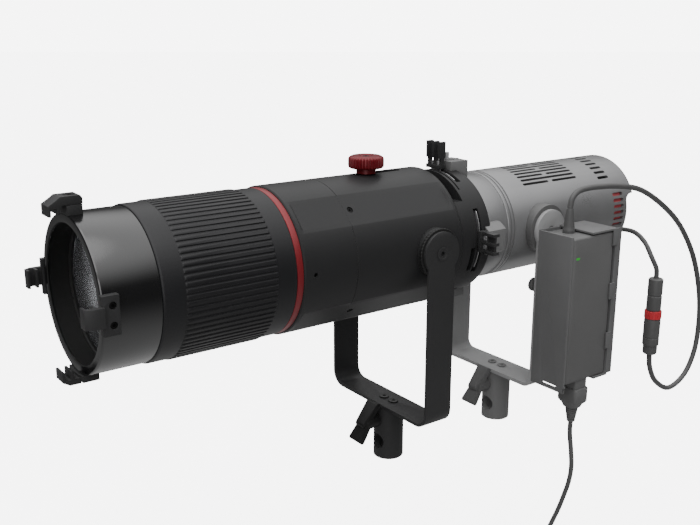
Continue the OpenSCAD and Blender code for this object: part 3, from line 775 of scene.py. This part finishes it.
def floor():
    """A bright floor that only the camera sees."""
    m = surface("floor_white", (0.93, 0.93, 0.93), 0.9, 0.0, 60, 0.0, 0.02, 0.1, 0.01)
    for nd in m.node_tree.nodes:
        if nd.type == "BSDF_PRINCIPLED":
            nd.inputs["Emission Color"].default_value = (1, 1, 1, 1)
            nd.inputs["Emission Strength"].default_value = FLOOR_GLOW
    bm = bmesh.new()
    bmesh.ops.create_grid(bm, x_segments=8, y_segments=8, size=40.0)
    me = bpy.data.meshes.new("floor")
    bm.to_mesh(me)
    bm.free()
    fl = linked("floor", me)
    fl.location = (0, 0, -0.30)
    me.materials.append(m)
    fl.visible_glossy = False
    fl.visible_diffuse = False


room()
floor()
aimed("overhead", "SUN", SUN_POWER, (-0.25, 0.25, -1.0)).data.angle = math.radians(70)
fill = aimed("fill", "AREA", FILL_POWER, (-1.7, 1.5, -0.4))
fill.location = (1.7, -1.5, 0.6)
fill.data.shape = "RECTANGLE"
fill.data.size = fill.data.size_y = FILL_SIZE


# -------------------- front clips and latch

def clip_plates():
    refine("frame_clips", "yoke", 0.45, 3, 35.0, "frame_clip_set")
    refine("top_latch", "yoke", 0.5, 3, 35.0, "frame_latch_set")
    heads = []
    for a in (0, 180, 270):
        for s in (-1, 1):
            o = (65.2, -303.9, s * 7.45)
            h = spin([(1.45, -2.0), (1.45, 0.0), (2.7, 0.02), (2.75, 0.3), (2.75, 0.9),
                      (2.5, 1.2), (2.2, 1.35)], o, ACROSS, 36)
            h = boolean(h, [hex_socket((o[0] + 1.35, o[1], o[2]), ACROSS, 2.4, 1.1)])
            heads.append(moved(h, at(a)))
    o = (63.1, -306, 0)
    h = spin([(2.4, 0), (2.4, 12.4), (4.1, 12.6), (4.3, 12.9), (4.3, 13.6), (3.9, 14.0),
              (3.4, 14.05)], o, ACROSS, 40)
    h = boolean(h, [hex_socket((77.15, -306, 0), ACROSS, 3.0, 1.3)])
    heads.append(moved(h, at(90)))
    place(join(heads), "frame_clip_screws", "pit", "barrel",
          ("clip_screws",), 30)


clip_plates()


# -------------------- focus knob

def knob():
    def flutes(r, a, z):
        if r < 13.95:
            return r
        p = (a / 10.0) % 1.0
        d = 1.0 * max(0.0, math.sin(math.pi * (p - 0.45) / 0.55)) ** 0.7 if p > 0.45 else 0.0
        return r - d * step((r - 13.9) / 1.3)
    zs = [(8.8, 65.8), (9.0, 66.0), (9.0, 70.3), (12.8, 70.35), (14.5, 70.6), (15.6, 71.1),
          (16.25, 71.9), (16.5, 73.0), (16.5, 75.5), (16.5, 78.2), (16.35, 79.4), (15.95, 80.3),
          (15.3, 81.0), (14.5, 81.4), (13.8, 81.55), (13.5, 81.9), (12.9, 82.0),
          (6.4, 82.0), (6.1, 81.8), (5.9, 81.4), (5.6, 81.25), (3.0, 81.25)]
    bm = spin_z([(r, z + ZC) for r, z in zs], 0, -30, 360, flutes)
    place(bm, "focus_grip", "knob", "knob", ("focus_knob",), 30)
    s = spin([(2.8, -1.0), (2.9, 0.35), (2.6, 0.7)], (0, -30, ZC + 81.0), (0, 0, 1), 36)
    s = boolean(s, [hex_socket((0, -30, ZC + 81.7), (0, 0, 1), 2.6, 1.1)])
    place(s, "focus_grip_screw", "screw", "knob", (), 30)


knob()


# -------------------- shutter section

def gate():
    prof = fillet([(61, 35.05), (61, 71), (60.6, 72.6), (59.2, 74.3), (57, 75.5),
                   (54.4, 76.1), (40, 76.1), (40, 72), (50, 72), (50, 63.2), (38, 63.2),
                   (38, 61.4), (50, 61.4), (50, 54), (38, 54), (38, 52.6), (50, 52.6),
                   (50, 35.05)], 0.3, 2)
    bm = lathe(prof, 260)
    bm = boolean(bm, [box(lo, hi) for lo, hi in (
        ((-47.7, 36, ZC + 38), (47.7, 47, ZC + 78)),        # pattern slot
        ((-39, 49.8, ZC + 47), (39, 51.6, ZC + 78)),        # filter slot
        ((50.5, 47.8, ZC - 28), (72.5, 53.2, ZC - 5)),      # side window
        ((-30.5, 56.1, ZC - 80), (30.5, 61.4, ZC - 38)),    # bottom blade
        ((-80, 54.2, ZC - 30.5), (-38, 59.5, ZC + 30.5)),   # far blade
        ((-30.5, 54.5, ZC + 38), (30.5, 59.8, ZC + 80)),    # top blade
        ((38, 55.3, ZC - 30.5), (80, 61.3, ZC + 30.5)))])   # near blade
    place(bm, "shutter_section", "body", "barrel",
          ("shutter_housing",), 28, 0.001)


gate()
for _side in ("top", "bottom", "near", "far"):
    refine(_side + "_blade", "steel", 0.12, 2, 40.0, _side + "_blade_sheet")
    refine(_side + "_handle", "grip", 0.7, 3, 40.0, _side + "_blade_grip")


# -------------------- front yoke and receiver

def tilt_bolts():
    """Pivot bolts with domed round heads and hex pits, one on each side."""
    x0, x1, head_r, head_h, af = 62.4, 74.2, 6.2, 0.7, 4.4
    prof = [(3.95, x0), (3.95, x1), (head_r - 0.45, x1 + 0.02), (head_r - 0.4, x1 + 0.25),
            (head_r, x1 + 0.3), (head_r, x1 + head_h - 0.15),
            (head_r - 0.3, x1 + head_h), (head_r - 1.6, x1 + head_h),
            (head_r - 1.8, x1 + head_h - 0.2), (head_r - 2.1, x1 + head_h - 0.2)]
    pit = [(af * HEX, x1 - 1.8), (af * HEX, x1 + head_h + 1)]
    place(join([boolean(spin(prof, (0, 0, ZC), (q, 0, 0), 64),
                        [spin(pit, (0, 0, ZC), (q, 0, 0), 6)]) for q in (1, -1)]),
          "tilt_bolt_pair", "yoke", "stand", ("tilt_bolts",), 30)


def front_stand():
    refine("front_yoke", "yoke", 0.5, 3, 40.0, "yoke_strap")
    tilt_bolts()
    refine("tilt_bosses", "body", 0.6, 3, 40.0, "tilt_boss_pair")

    def knurl(r, a, z):
        if r < 21.9:
            return r
        p = (a / (360.0 / 44)) % 1.0
        return r - 0.4 * (0.5 - 0.5 * math.cos(2 * math.pi * p)) ** 0.6
    prof = [(4.1, 68.32), (21.6, 68.32), (22.3, 68.6), (22.6, 68.9), (22.6, 70.6),
            (22.3, 70.95), (21.6, 71.16), (4.1, 71.16)]
    discs = [spin(prof, (0, 0, ZC), (q, 0, 0), 352, knurl) for q in (1, -1)]
    place(join(discs), "tilt_friction_discs", "plastic", "stand",
          ("friction_discs",), 30)


CLAMP_Z = 41.5      # height of the clamp lever above the receiver's mouth


def receiver_tube(y, z0, mat, name, body, node):
    """The tube of the receiver with its chamfered mouth and cross bore."""
    outer = [(14.2, z0), (14.6, z0 + 0.1), (15, z0 + 0.55), (15, z0 + 2)]
    bm = spin_z([(8.6, z0)] + outer + [(15, z0 + 56.35)], 0, y, 128)
    cut = [spin_z([(8.9, z0 - 1), (8.6, z0), (8.1, z0 + 0.6), (8.1, z0 + 44)], 0, y, 96),
           moved(spin_z([(8.1, -20), (8.1, 20)], 0, 0, 96), level(y, z0 + 18)),
           moved(spin_z([(4.05, 0), (4.05, 20)], 0, 0, 48), level(y, z0 + CLAMP_Z))]
    bm = boolean(bm, cut)
    place(bm, name, mat, body, (node,), 28, 0.001)


def plate_screws(y, z0, t, mat, name, body, node):
    """Two low-headed socket screws that hold the receiver to the strap."""
    parts = []
    for s in (-1, 1):
        x = s * 7.2
        top = z0 + t + 1.3
        head = spin_z([(2.3, z0 - 8), (2.3, z0 + t + 0.02), (4.6, z0 + t + 0.03),
                       (4.8, z0 + t + 0.2), (4.8, top - 0.4), (4.5, top - 0.08),
                       (4.1, top), (3.1, top), (2.9, top - 0.2)], x, y, 56)
        head = boolean(head, [spin_z([(1.9, top - 0.9), (1.9, top + 1)], x, y, 6)])
        parts.append(head)
    place(join(parts), name, mat, body, (node,), 30)


front_stand()
receiver_tube(0, 0, "yoke", "spigot_receiver", "stand", "receiver")
plate_screws(0, 56.4, 3, "screw", "receiver_screw_pair", "stand", "receiver_screws")


def wing(ya, za, ra, wa, yb, zb, rb, wb):
    """Joins two round ends, each (y, z, radius, half width), into one wing."""
    ang = math.atan2(zb - za, yb - ya)
    out = []
    for y, z, r, w, turn in ((ya, za, ra, wa, 0.5), (yb, zb, rb, wb, -0.5)):
        for k in range(13):
            t = ang + math.pi * turn + math.pi * k / 12
            out.append((w, y + r * math.cos(t), z + r * math.sin(t)))
    return loops_to_bm([[(s * w, u, v) for w, u, v in out] for s in (-1, 1)], caps=True)


def lever(y, z, mat, name, body, nodes):
    """Two-winged clamp lever: a round hub, a narrow upper wing and a broad lower paddle."""
    bm = moved(spin_z([(6.9, 15.7), (7.4, 16.2), (7.4, 30.6), (6.8, 31.4), (5.6, 31.6)],
                      0, 0, 64), level(y, z))
    bm = boolean(bm, [wing(y - 33, z, 3.9, 6, y - 19.8, z + 17.6, 2.5, 8)], "UNION")
    bm = boolean(bm, [wing(y - 29, z, 3.9, 6, y - 39.8, z - 14.8, 2.5, 9.4)], "UNION")
    bmesh.ops.dissolve_limit(bm, angle_limit=0.01, verts=bm.verts, edges=bm.edges)
    bm = bevelled(bm, 0.9, 3, 38)
    place(bm, name, mat, body, nodes, 40)


lever(0, CLAMP_Z, "plastic", "clamp_wing_lever", "clamp", ("clamp_lever",))


# -------------------- lamp head

def lamp_ring():
    """Bayonet ring of the lamp, with a fine groove and a step inside."""
    prof = fillet([(53.4, 76.3), (53.4, 79.2), (53.1, 79.5), (53.1, 80.3), (53.4, 80.6),
                   (53.4, 103.8), (48, 103.8), (48, 80), (44, 80), (44, 76.3)], 0.2, 2)
    bm = lathe(prof, 240)
    place(bm, "lamp_bayonet_ring", "lamp", "barrel", ("lamp_front_ring",), 25)


def lamp_tube():
    prof = fillet([(53.4, 104.05), (54, 104.6), (54, 107.5), (52.9, 107.7), (52.9, 108.7),
                   (54, 108.9), (54, 111.5), (52.9, 111.7), (52.9, 112.7), (54, 112.9),
                   (54, 296.6, 0.5), (52.8, 297.95), (51, 297.95), (51, 104.05)], 0.12, 2)
    bm = lathe(prof, 288)
    cut = []

    def slot(a, y0, y1, w):
        out = slot_outline((y0 + y1) / 2, 0, y1 - y0, w, 5)
        cut.append(moved(prism(out, 49, 57, "yz"), at(a)))

    for i in range(15):
        a = 50.4 + i * 5.66
        if i % 2 == 0:
            slot(a, 141.5, 178.5, 2.9)
            slot(a, 184, 221, 2.9)
        else:
            slot(a, 142.3, 220.9, 2.9)
    for i in range(13):
        slot(44.4 + i * 7.6, 251, 268.5, 3.4)
    for i in range(6):
        for s in (1, -1):
            a = -13.5 + i * 7.06
            slot(a if s > 0 else 180 - a, 263.5, 280, 3.5)
    cut.append(prism([(285, ZC - 60), (285, ZC + 11.2), (285.4, ZC + 13.2), (286.4, ZC + 14.9),
                      (288.5, ZC + 17.0), (290.6, ZC + 18.1), (293, ZC + 18.6),
                      (299, ZC + 19), (299, ZC - 60)], -60, 60, "yz"))
    for s in (-1, 1):
        cut.append(spin([(4.05, 0), (4.05, 30)], (s * 40, LAMP_Y, ZC), (s, 0, 0), 32))
    bm = boolean(bm, cut)
    place(bm, "lamp_housing", "lamp", "barrel", ("lamp_shell",), 25, 0.001)
    # red liner seen through the side slots
    section = [(50.2, 260.0), (50.2, 279.6), (50.8, 279.6), (50.8, 260.0)]
    for s in (0, 1):
        rings = []
        for i in range(29):
            a = math.radians(180 * s + (1 - 2 * s) * (2.0 * i - 24))
            rings.append([(r * math.cos(a), y, ZC + r * math.sin(a)) for r, y in section])
        place(loops_to_bm(rings, caps=True), "vent_liner_%d" % s, "vent_red", "barrel",
              (), 30)


lamp_ring()
lamp_tube()
refine("lamp_clips", "lamp_dark", 0.5, 3, 40.0, "coupling_blocks")


def release_pin():
    bm = spin_z([(1.8, ZC + 62), (1.8, ZC + 69.2), (2.1, ZC + 69.25), (2.3, ZC + 69.5),
                 (2.3, ZC + 75.9), (2.1, ZC + 76.5), (1.6, ZC + 76.75)], 0, 69, 40)
    place(bm, "release_plunger", "lyoke", "release_pin", ("latch_pin",),
          30)


release_pin()


DIAL_Z = ZC - 4     # height of the control dial's axis


def rear():
    """Rear panel with its rim, screws, vent slots, gland and a blanked port."""
    bm = lathe(fillet([(50.9, 280), (50.9, 283), (49.2, 283.0), (48.9, 282.5), (47.6, 282.5),
                       (47.3, 283.0), (0.4, 283.0), (0.4, 280)], 0.12, 2), 200)
    cut = []
    for i in range(9):
        x = -24 + i * 6
        cut.append(prism([(y, x0) for x0, y in slot_outline(ZC + 24, x, 12, 2.2, 5)],
                         279, 284, "xz"))
    cut.append(spin([(3.05, 270), (3.05, 290)], (0, 0, DIAL_Z), ALONG, 32))
    spots = [(44.5 * math.cos(math.radians(a)), 0, ZC + 44.5 * math.sin(math.radians(a)))
             for a in (40, 140, 220, 320)]
    cut += [spin([(2.6, 282.2), (2.6, 284)], o, ALONG, 28) for o in spots]
    bm = boolean(bm, cut)
    place(bm, "rear_plate", "gplastic", "barrel", ("rear_panel",), 25,
          0.001)
    gland = spin([(5.2, 283.0), (5.5, 283.15), (5.5, 284.6), (5.1, 284.9), (4.6, 285.0),
                  (3.4, 286.6), (2.9, 286.9), (2.3, 286.95), (2.3, 283.1)], (25, 0, 196),
                 ALONG, 48)
    port = spin([(5.7, 283.0), (6, 283.2), (6, 284.6), (5.7, 284.9), (4.4, 284.9),
                 (4.3, 284.2), (3.9, 284.1)], (-22, 0, 196), ALONG, 48)
    place(join([gland, port]), "rear_gland_and_port", "plastic", "barrel",
          (), 30)
    heads = [boolean(spin([(2.3, 282.25), (2.3, 282.8), (1.9, 283.0)], o, ALONG, 28),
                     [spin([(1.1, 282.5), (1.1, 284)], o, ALONG, 6)]) for o in spots]
    place(join(heads), "rear_plate_screws", "screw", "barrel", (), 30)


def dial():
    def knurl(r, a, z):
        if r < 9.2:
            return r
        p = (a / 15.0) % 1.0
        return r - 0.55 * max(0.0, math.cos(2 * math.pi * p)) * step((z - 283.9) / 0.6)
    prof = [(2.95, 276), (2.95, 283.3), (9.6, 283.35), (10, 283.7), (10, 290.8),
            (9.7, 291.7), (8.8, 292.25), (7.0, 292.3), (6.6, 292.0), (1.0, 291.9)]
    bm = spin(prof, (0, 0, DIAL_Z), ALONG, 240, knurl)
    mark = rbox((-0.5, 291.5, DIAL_Z + 2.2), (0.5, 292.28, DIAL_Z + 6.4), 0.15, 2)
    place(bm, "brightness_dial", "plastic", "dial", ("control_dial",), 30)
    place(mark, "dial_mark", "conn_red", "dial", (), 30)


rear()
dial()
# the boss pair takes the darker grey plastic finish as painted shade, for the shadow on its near
# side
refine("lamp_bosses", "gplastic", 0.7, 3, 40.0, "lamp_boss_pair")


# -------------------- lamp yoke and adapter

refine("lamp_yoke", "lyoke", 0.6, 3, 40.0, "lamp_yoke_strap")
receiver_tube(LAMP_Y, 1.6, "lamp_dark", "lamp_spigot_receiver", "lamp_stand",
              "lamp_receiver")
plate_screws(LAMP_Y, 58.0, 4, "lamp_dark", "lamp_receiver_screw_pair", "lamp_stand",
             "lamp_receiver_screws")
lever(LAMP_Y, 1.6 + CLAMP_Z, "gplastic", "lamp_clamp_wing_lever", "lamp_clamp",
      ("lamp_clamp_lever",))


def lamp_pivots():
    o = (0, LAMP_Y, ZC)
    prof = [(3.95, 52), (3.95, 65.62), (5.8, 65.64), (6, 65.85), (6, 67.4), (5.7, 68.1),
            (4.9, 68.55), (3.6, 68.6)]
    parts = [spin([(3.95, 52), (3.95, 65.5)], o, ACROSS, 40),
             boolean(spin(prof, o, (-1, 0, 0), 56),
                     [spin([(2.4, 66.6), (2.4, 70)], o, (-1, 0, 0), 6)])]
    place(join(parts), "lamp_pivot_bolts", "lamp_dark", "lamp_stand",
          ("lamp_bolts",), 30)


lamp_pivots()
refine("adapter_bracket", "tray", 0.45, 3, 40.0, "adapter_tray")


def thumb_screw():
    def knurl(r, a, z):
        if r < 6.3:
            return r
        p = (a / 20.0) % 1.0
        return r - 0.5 * max(0.0, math.cos(2 * math.pi * p)) ** 0.6
    o = (0, LAMP_Y - 8, 167)
    prof = [(5.9, 51.85), (6.7, 52.1), (7.0, 52.6), (7.0, 57.0), (6.7, 57.6), (5.9, 57.8),
            (4.5, 57.82), (4.5, 61.1), (3.0, 61.15), (3.0, 67.6)]
    bm = spin(prof, o, ACROSS, 180, knurl)
    place(bm, "tray_thumb_screw", "gplastic", "thumb_screw",
          ("bracket_knob",), 30)


thumb_screw()


def rounded(w, h, r, cx, cy, n=8):
    """Outline of a rectangle with round corners."""
    out = []
    for sx, sy, a0 in ((1, 1, 0), (-1, 1, 90), (-1, -1, 180), (1, -1, 270)):
        for k in range(n + 1):
            t = math.radians(a0 + 90 * k / n)
            out.append((cx + sx * (w / 2 - r) + r * math.cos(t),
                        cy + sy * (h / 2 - r) + r * math.sin(t)))
    return out


def loft_z(sections):
    """Joins outlines [(outline, z)] that have equal point counts, with both ends closed."""
    return loops_to_bm([[(x, y, z) for x, y in o] for o, z in sections], caps=True)


def adapter():
    """Two moulded half shells with a parting groove, a lamp window and an inlet."""
    cx, cy, w, h = 87.85, 167.1, 39.6, 60.9
    rims = ((0, 2.1), (0.35, 1.1), (1.1, 0.35), (2.2, 0.0))     # distance from the end, inset

    def layer(z, i):
        return rounded(w - 2 * i, h - 2 * i, 4 - i * 0.6, cx, cy), z

    sec = [layer(75.45 + q, i) for q, i in rims]
    sec += [layer(224.95 - q, i) for q, i in reversed(rims)]
    bm = loft_z(sec)
    cut = [prism(rounded(22, 18, 3, 95, 165), 74, 83, "xy")]
    # parting groove all round, in the plane of the two half shells
    bmg = prism([(cx - 0.35, 60), (cx + 0.35, 60), (cx + 0.35, 240), (cx - 0.35, 240)],
                cy - 40, cy + 40, "xz")
    core = prism([(cx - 2, 76.1), (cx + 2, 76.1), (cx + 2, 224.3), (cx - 2, 224.3)],
                 cy - h / 2 + 0.45, cy + h / 2 - 0.45, "xz")
    cut.append(boolean(bmg, [core]))
    lens = [(144.3 + u, 204.6 + v) for u, v in slot_outline(0, 0, 5.4, 2.4, 6)]
    cut.append(prism(lens, 106.9, 110, "yz"))
    bm = boolean(bm, cut)
    place(bm, "adapter_case", "adapter", "lamp_stand",
          ("power_adapter",), 35, 0.001)
    lens = [(144.3 + u, 204.6 + v) for u, v in slot_outline(0, 0, 5.1, 2.1, 6)]
    led = prism(lens, 106.95, 107.7, "yz")
    place(led, "adapter_light", "led_green", "lamp_stand", (), 40)
    prof = [(5.9, 224.5), (6.0, 225.4), (6.0, 227.6), (5.8, 228.6), (5.5, 229.4),
            (5.2, 232.0), (4.7, 237.0), (4.1, 243.0), (3.6, 247.4), (3.35, 248.7),
            (2.9, 249.0)]
    bm = spin_z(prof, 84, 156, 48)
    place(bm, "dc_strain_relief", "cord", "lamp_stand", (), 30)


adapter()


def dc_plug():
    """In-line connector: two ribbed halves and a red locking collar."""
    prof = [(2.9, 65.0), (6.2, 65.1), (7.0, 65.6), (7.6, 66.6), (7.8, 68.0), (7.8, 75.6),
            (8.1, 76.0), (8.9, 76.4), (8.9, 84.0), (8.55, 84.4), (8.55, 85.2),
            (8.9, 85.6), (8.9, 105.4), (8.6, 106.6), (7.6, 106.7), (7.5, 107.2)]
    low = spin_z(prof, 84, 306, 72, lambda r, a, z: r - 0.4 * (
        1 if 87.5 < z < 104 and r > 8.8 and (a / 20.0) % 1.0 > 0.72 else 0))
    prof = [(7.2, 116.0), (7.6, 116.3), (7.9, 117.2), (8.0, 118.4), (8.0, 132.4), (7.5, 132.9),
            (7.5, 134.0), (8.0, 134.5), (8.0, 150.6), (7.7, 151.8), (6.9, 152.6),
            (6.2, 152.9), (2.75, 152.95)]
    top = spin_z(prof, 84, 306, 72)
    place(low, "inline_connector", "plug", "lamp_stand",
          ("dc_connector",), 30)
    place(top, "inline_socket", "plug", "lamp_stand", (), 30)

    def flutes(r, a, z):
        return r - (0.45 if r > 9.0 and (a / 18.0) % 1.0 > 0.62 else 0.0)
    prof = [(6.8, 107.1), (9.0, 107.2), (9.3, 107.7), (9.3, 108.4), (9.3, 108.8),
            (9.3, 114.2), (9.3, 114.6), (9.3, 115.4), (9.0, 115.9), (6.8, 116.0)]
    bm = spin_z(prof, 84, 306, 200, flutes)
    place(bm, "connector_collar", "conn_red", "lamp_stand", (), 30)


dc_plug()


def inlet_plug():
    """Mains connector of the adapter with its ribbed strain relief."""
    sec = [(17, 16.5, 7, 43.2), (18.5, 16.8, 5, 46.2), (23.6, 18.8, 3.2, 49.1),
           (24.8, 19.8, 3.2, 50.4), (25, 20, 3.2, 64.2), (24.2, 19.2, 3.2, 65.0),
           (21.5, 17.5, 2.8, 65.2), (21.4, 17.4, 2.8, 81.5)]
    body = loft_z([(rounded(w, h, r, 95, 165), z) for w, h, r, z in sec])
    prof = [(2.5, 26.0), (3.9, 26.1), (4.2, 26.8)]
    for k in range(6):
        z, r = 27.2 + k * 2.5, 4.3 + k * 0.42
        prof += [(r, z), (r, z + 1.4), (r - 0.8, z + 1.7), (r - 0.75, z + 2.2)]
    prof += [(7.0, 42.4), (7.1, 43.6)]
    tail = spin_z(prof, 95, 165, 48)
    place(join([body, tail]), "inlet_connector", "adapter", "lamp_stand",
          ("ac_plug",), 35)


inlet_plug()


def wall_plug():
    """Mains plug on the cord's far end: moulded body, two blades and an earth pin."""
    x, y, z = 64.3, 149.8, -202.0
    prof = [(2.5, z), (3.3, z - 0.1), (3.5, z - 0.8)]
    for k in range(7):
        zz, r = z - 1.4 - k * 3.4, 3.7 + k * 0.42
        prof += [(r, zz), (r, zz - 2.0), (r - 0.7, zz - 2.4), (r - 0.65, zz - 3.0)]
    prof += [(7.0, z - 25.6), (7.6, z - 28.0), (9.8, z - 29.6), (12.9, z - 30.6),
             (14.4, z - 32.2), (14.9, z - 34.5), (15, z - 50), (14.9, z - 57.5),
             (14.2, z - 59.4), (13.0, z - 60.0)]
    bm = spin_z(list(reversed(prof)), x, y, 72)
    place(bm, "mains_plug_body", "cord", "lamp_stand", ("mains_plug",), 30)
    parts = [rbox((x + s * 6.3 - 0.74, y - 3.2, z - 77.9), (x + s * 6.3 + 0.74, y + 3.2,
                                                           z - 59.8), 0.3, 2)
             for s in (-1, 1)]
    parts.append(spin_z([(1.0, z - 77.9), (1.9, z - 77.3), (2.35, z - 76), (2.35, z - 59.8)],
                        x, y + 8, 32))
    place(join(parts), "mains_plug_pins", "brass", "lamp_stand", (), 30)


wall_plug()


def coil_tie():
    """A strap round the coil's turns, at the top."""
    c = Vector((COIL[0], COIL[1], COIL[2] + 25))

    def soft(q):
        return math.copysign(abs(q) ** 0.55, q)

    rings = []
    for w, a, b in ((-4.0, 12.55, 5.15), (-3.8, 12.75, 5.35), (3.8, 12.75, 5.35),
                    (4.0, 12.55, 5.15), (4.0, 12.62, 5.22), (-4.0, 12.62, 5.22)):
        rings.append([c + Vector((w, a * soft(math.cos(q)), b * soft(math.sin(q))))
                      for q in [2 * math.pi * k / 48 for k in range(48)]])
    return place(loops_to_bm(rings, close_v=True), "coil_tie", "plastic", "lamp_stand",
                 (), 40)


tie = coil_tie()
cord_piece("output_lead", dc_path, 5.8, "lamp_stand", ("dc_lead",), far_end="connector",
           stiffness="medium", lay="hanging",
           with_pieces=[bpy.data.objects["inline_connector"],
                        bpy.data.objects["connector_collar"]])
cord_piece("lamp_tail", tail_path, 5.4, "lamp_stand", ("dc_tail",),
           blend=("barrel", "lamp_stand", (25 * MM, 287 * MM, 196 * MM),
                  (84 * MM, 306 * MM, 153 * MM)),
           far_end="connector", stiffness="medium", lay="hanging",
           with_pieces=[bpy.data.objects["inline_socket"]])
cord_piece("mains_cord", ac_path, 5.0, "lamp_stand", ("ac_cord", "ac_coil", "ac_tail"),
           far_end="plug", stiffness="medium", lay="hanging",
           with_pieces=[bpy.data.objects["mains_plug_body"],
                        bpy.data.objects["mains_plug_pins"], tie])


# -------------------- parts left as they are

for _node, _mat in (("clamp_stud", "screw"), ("zoom_carriage", "inside"),
                    ("zoom_lens", "glass"), ("focus_carriage", "inside"),
                    ("focus_lens", "glass"), ("condenser_lens", "glass"),
                    ("led_board", "phosphor"), ("heat_sink", "sink"),
                    ("fan_rotor", "plastic")):
    for _slot in NODES[_node].material_slots:
        _slot.material = MAT[_mat]
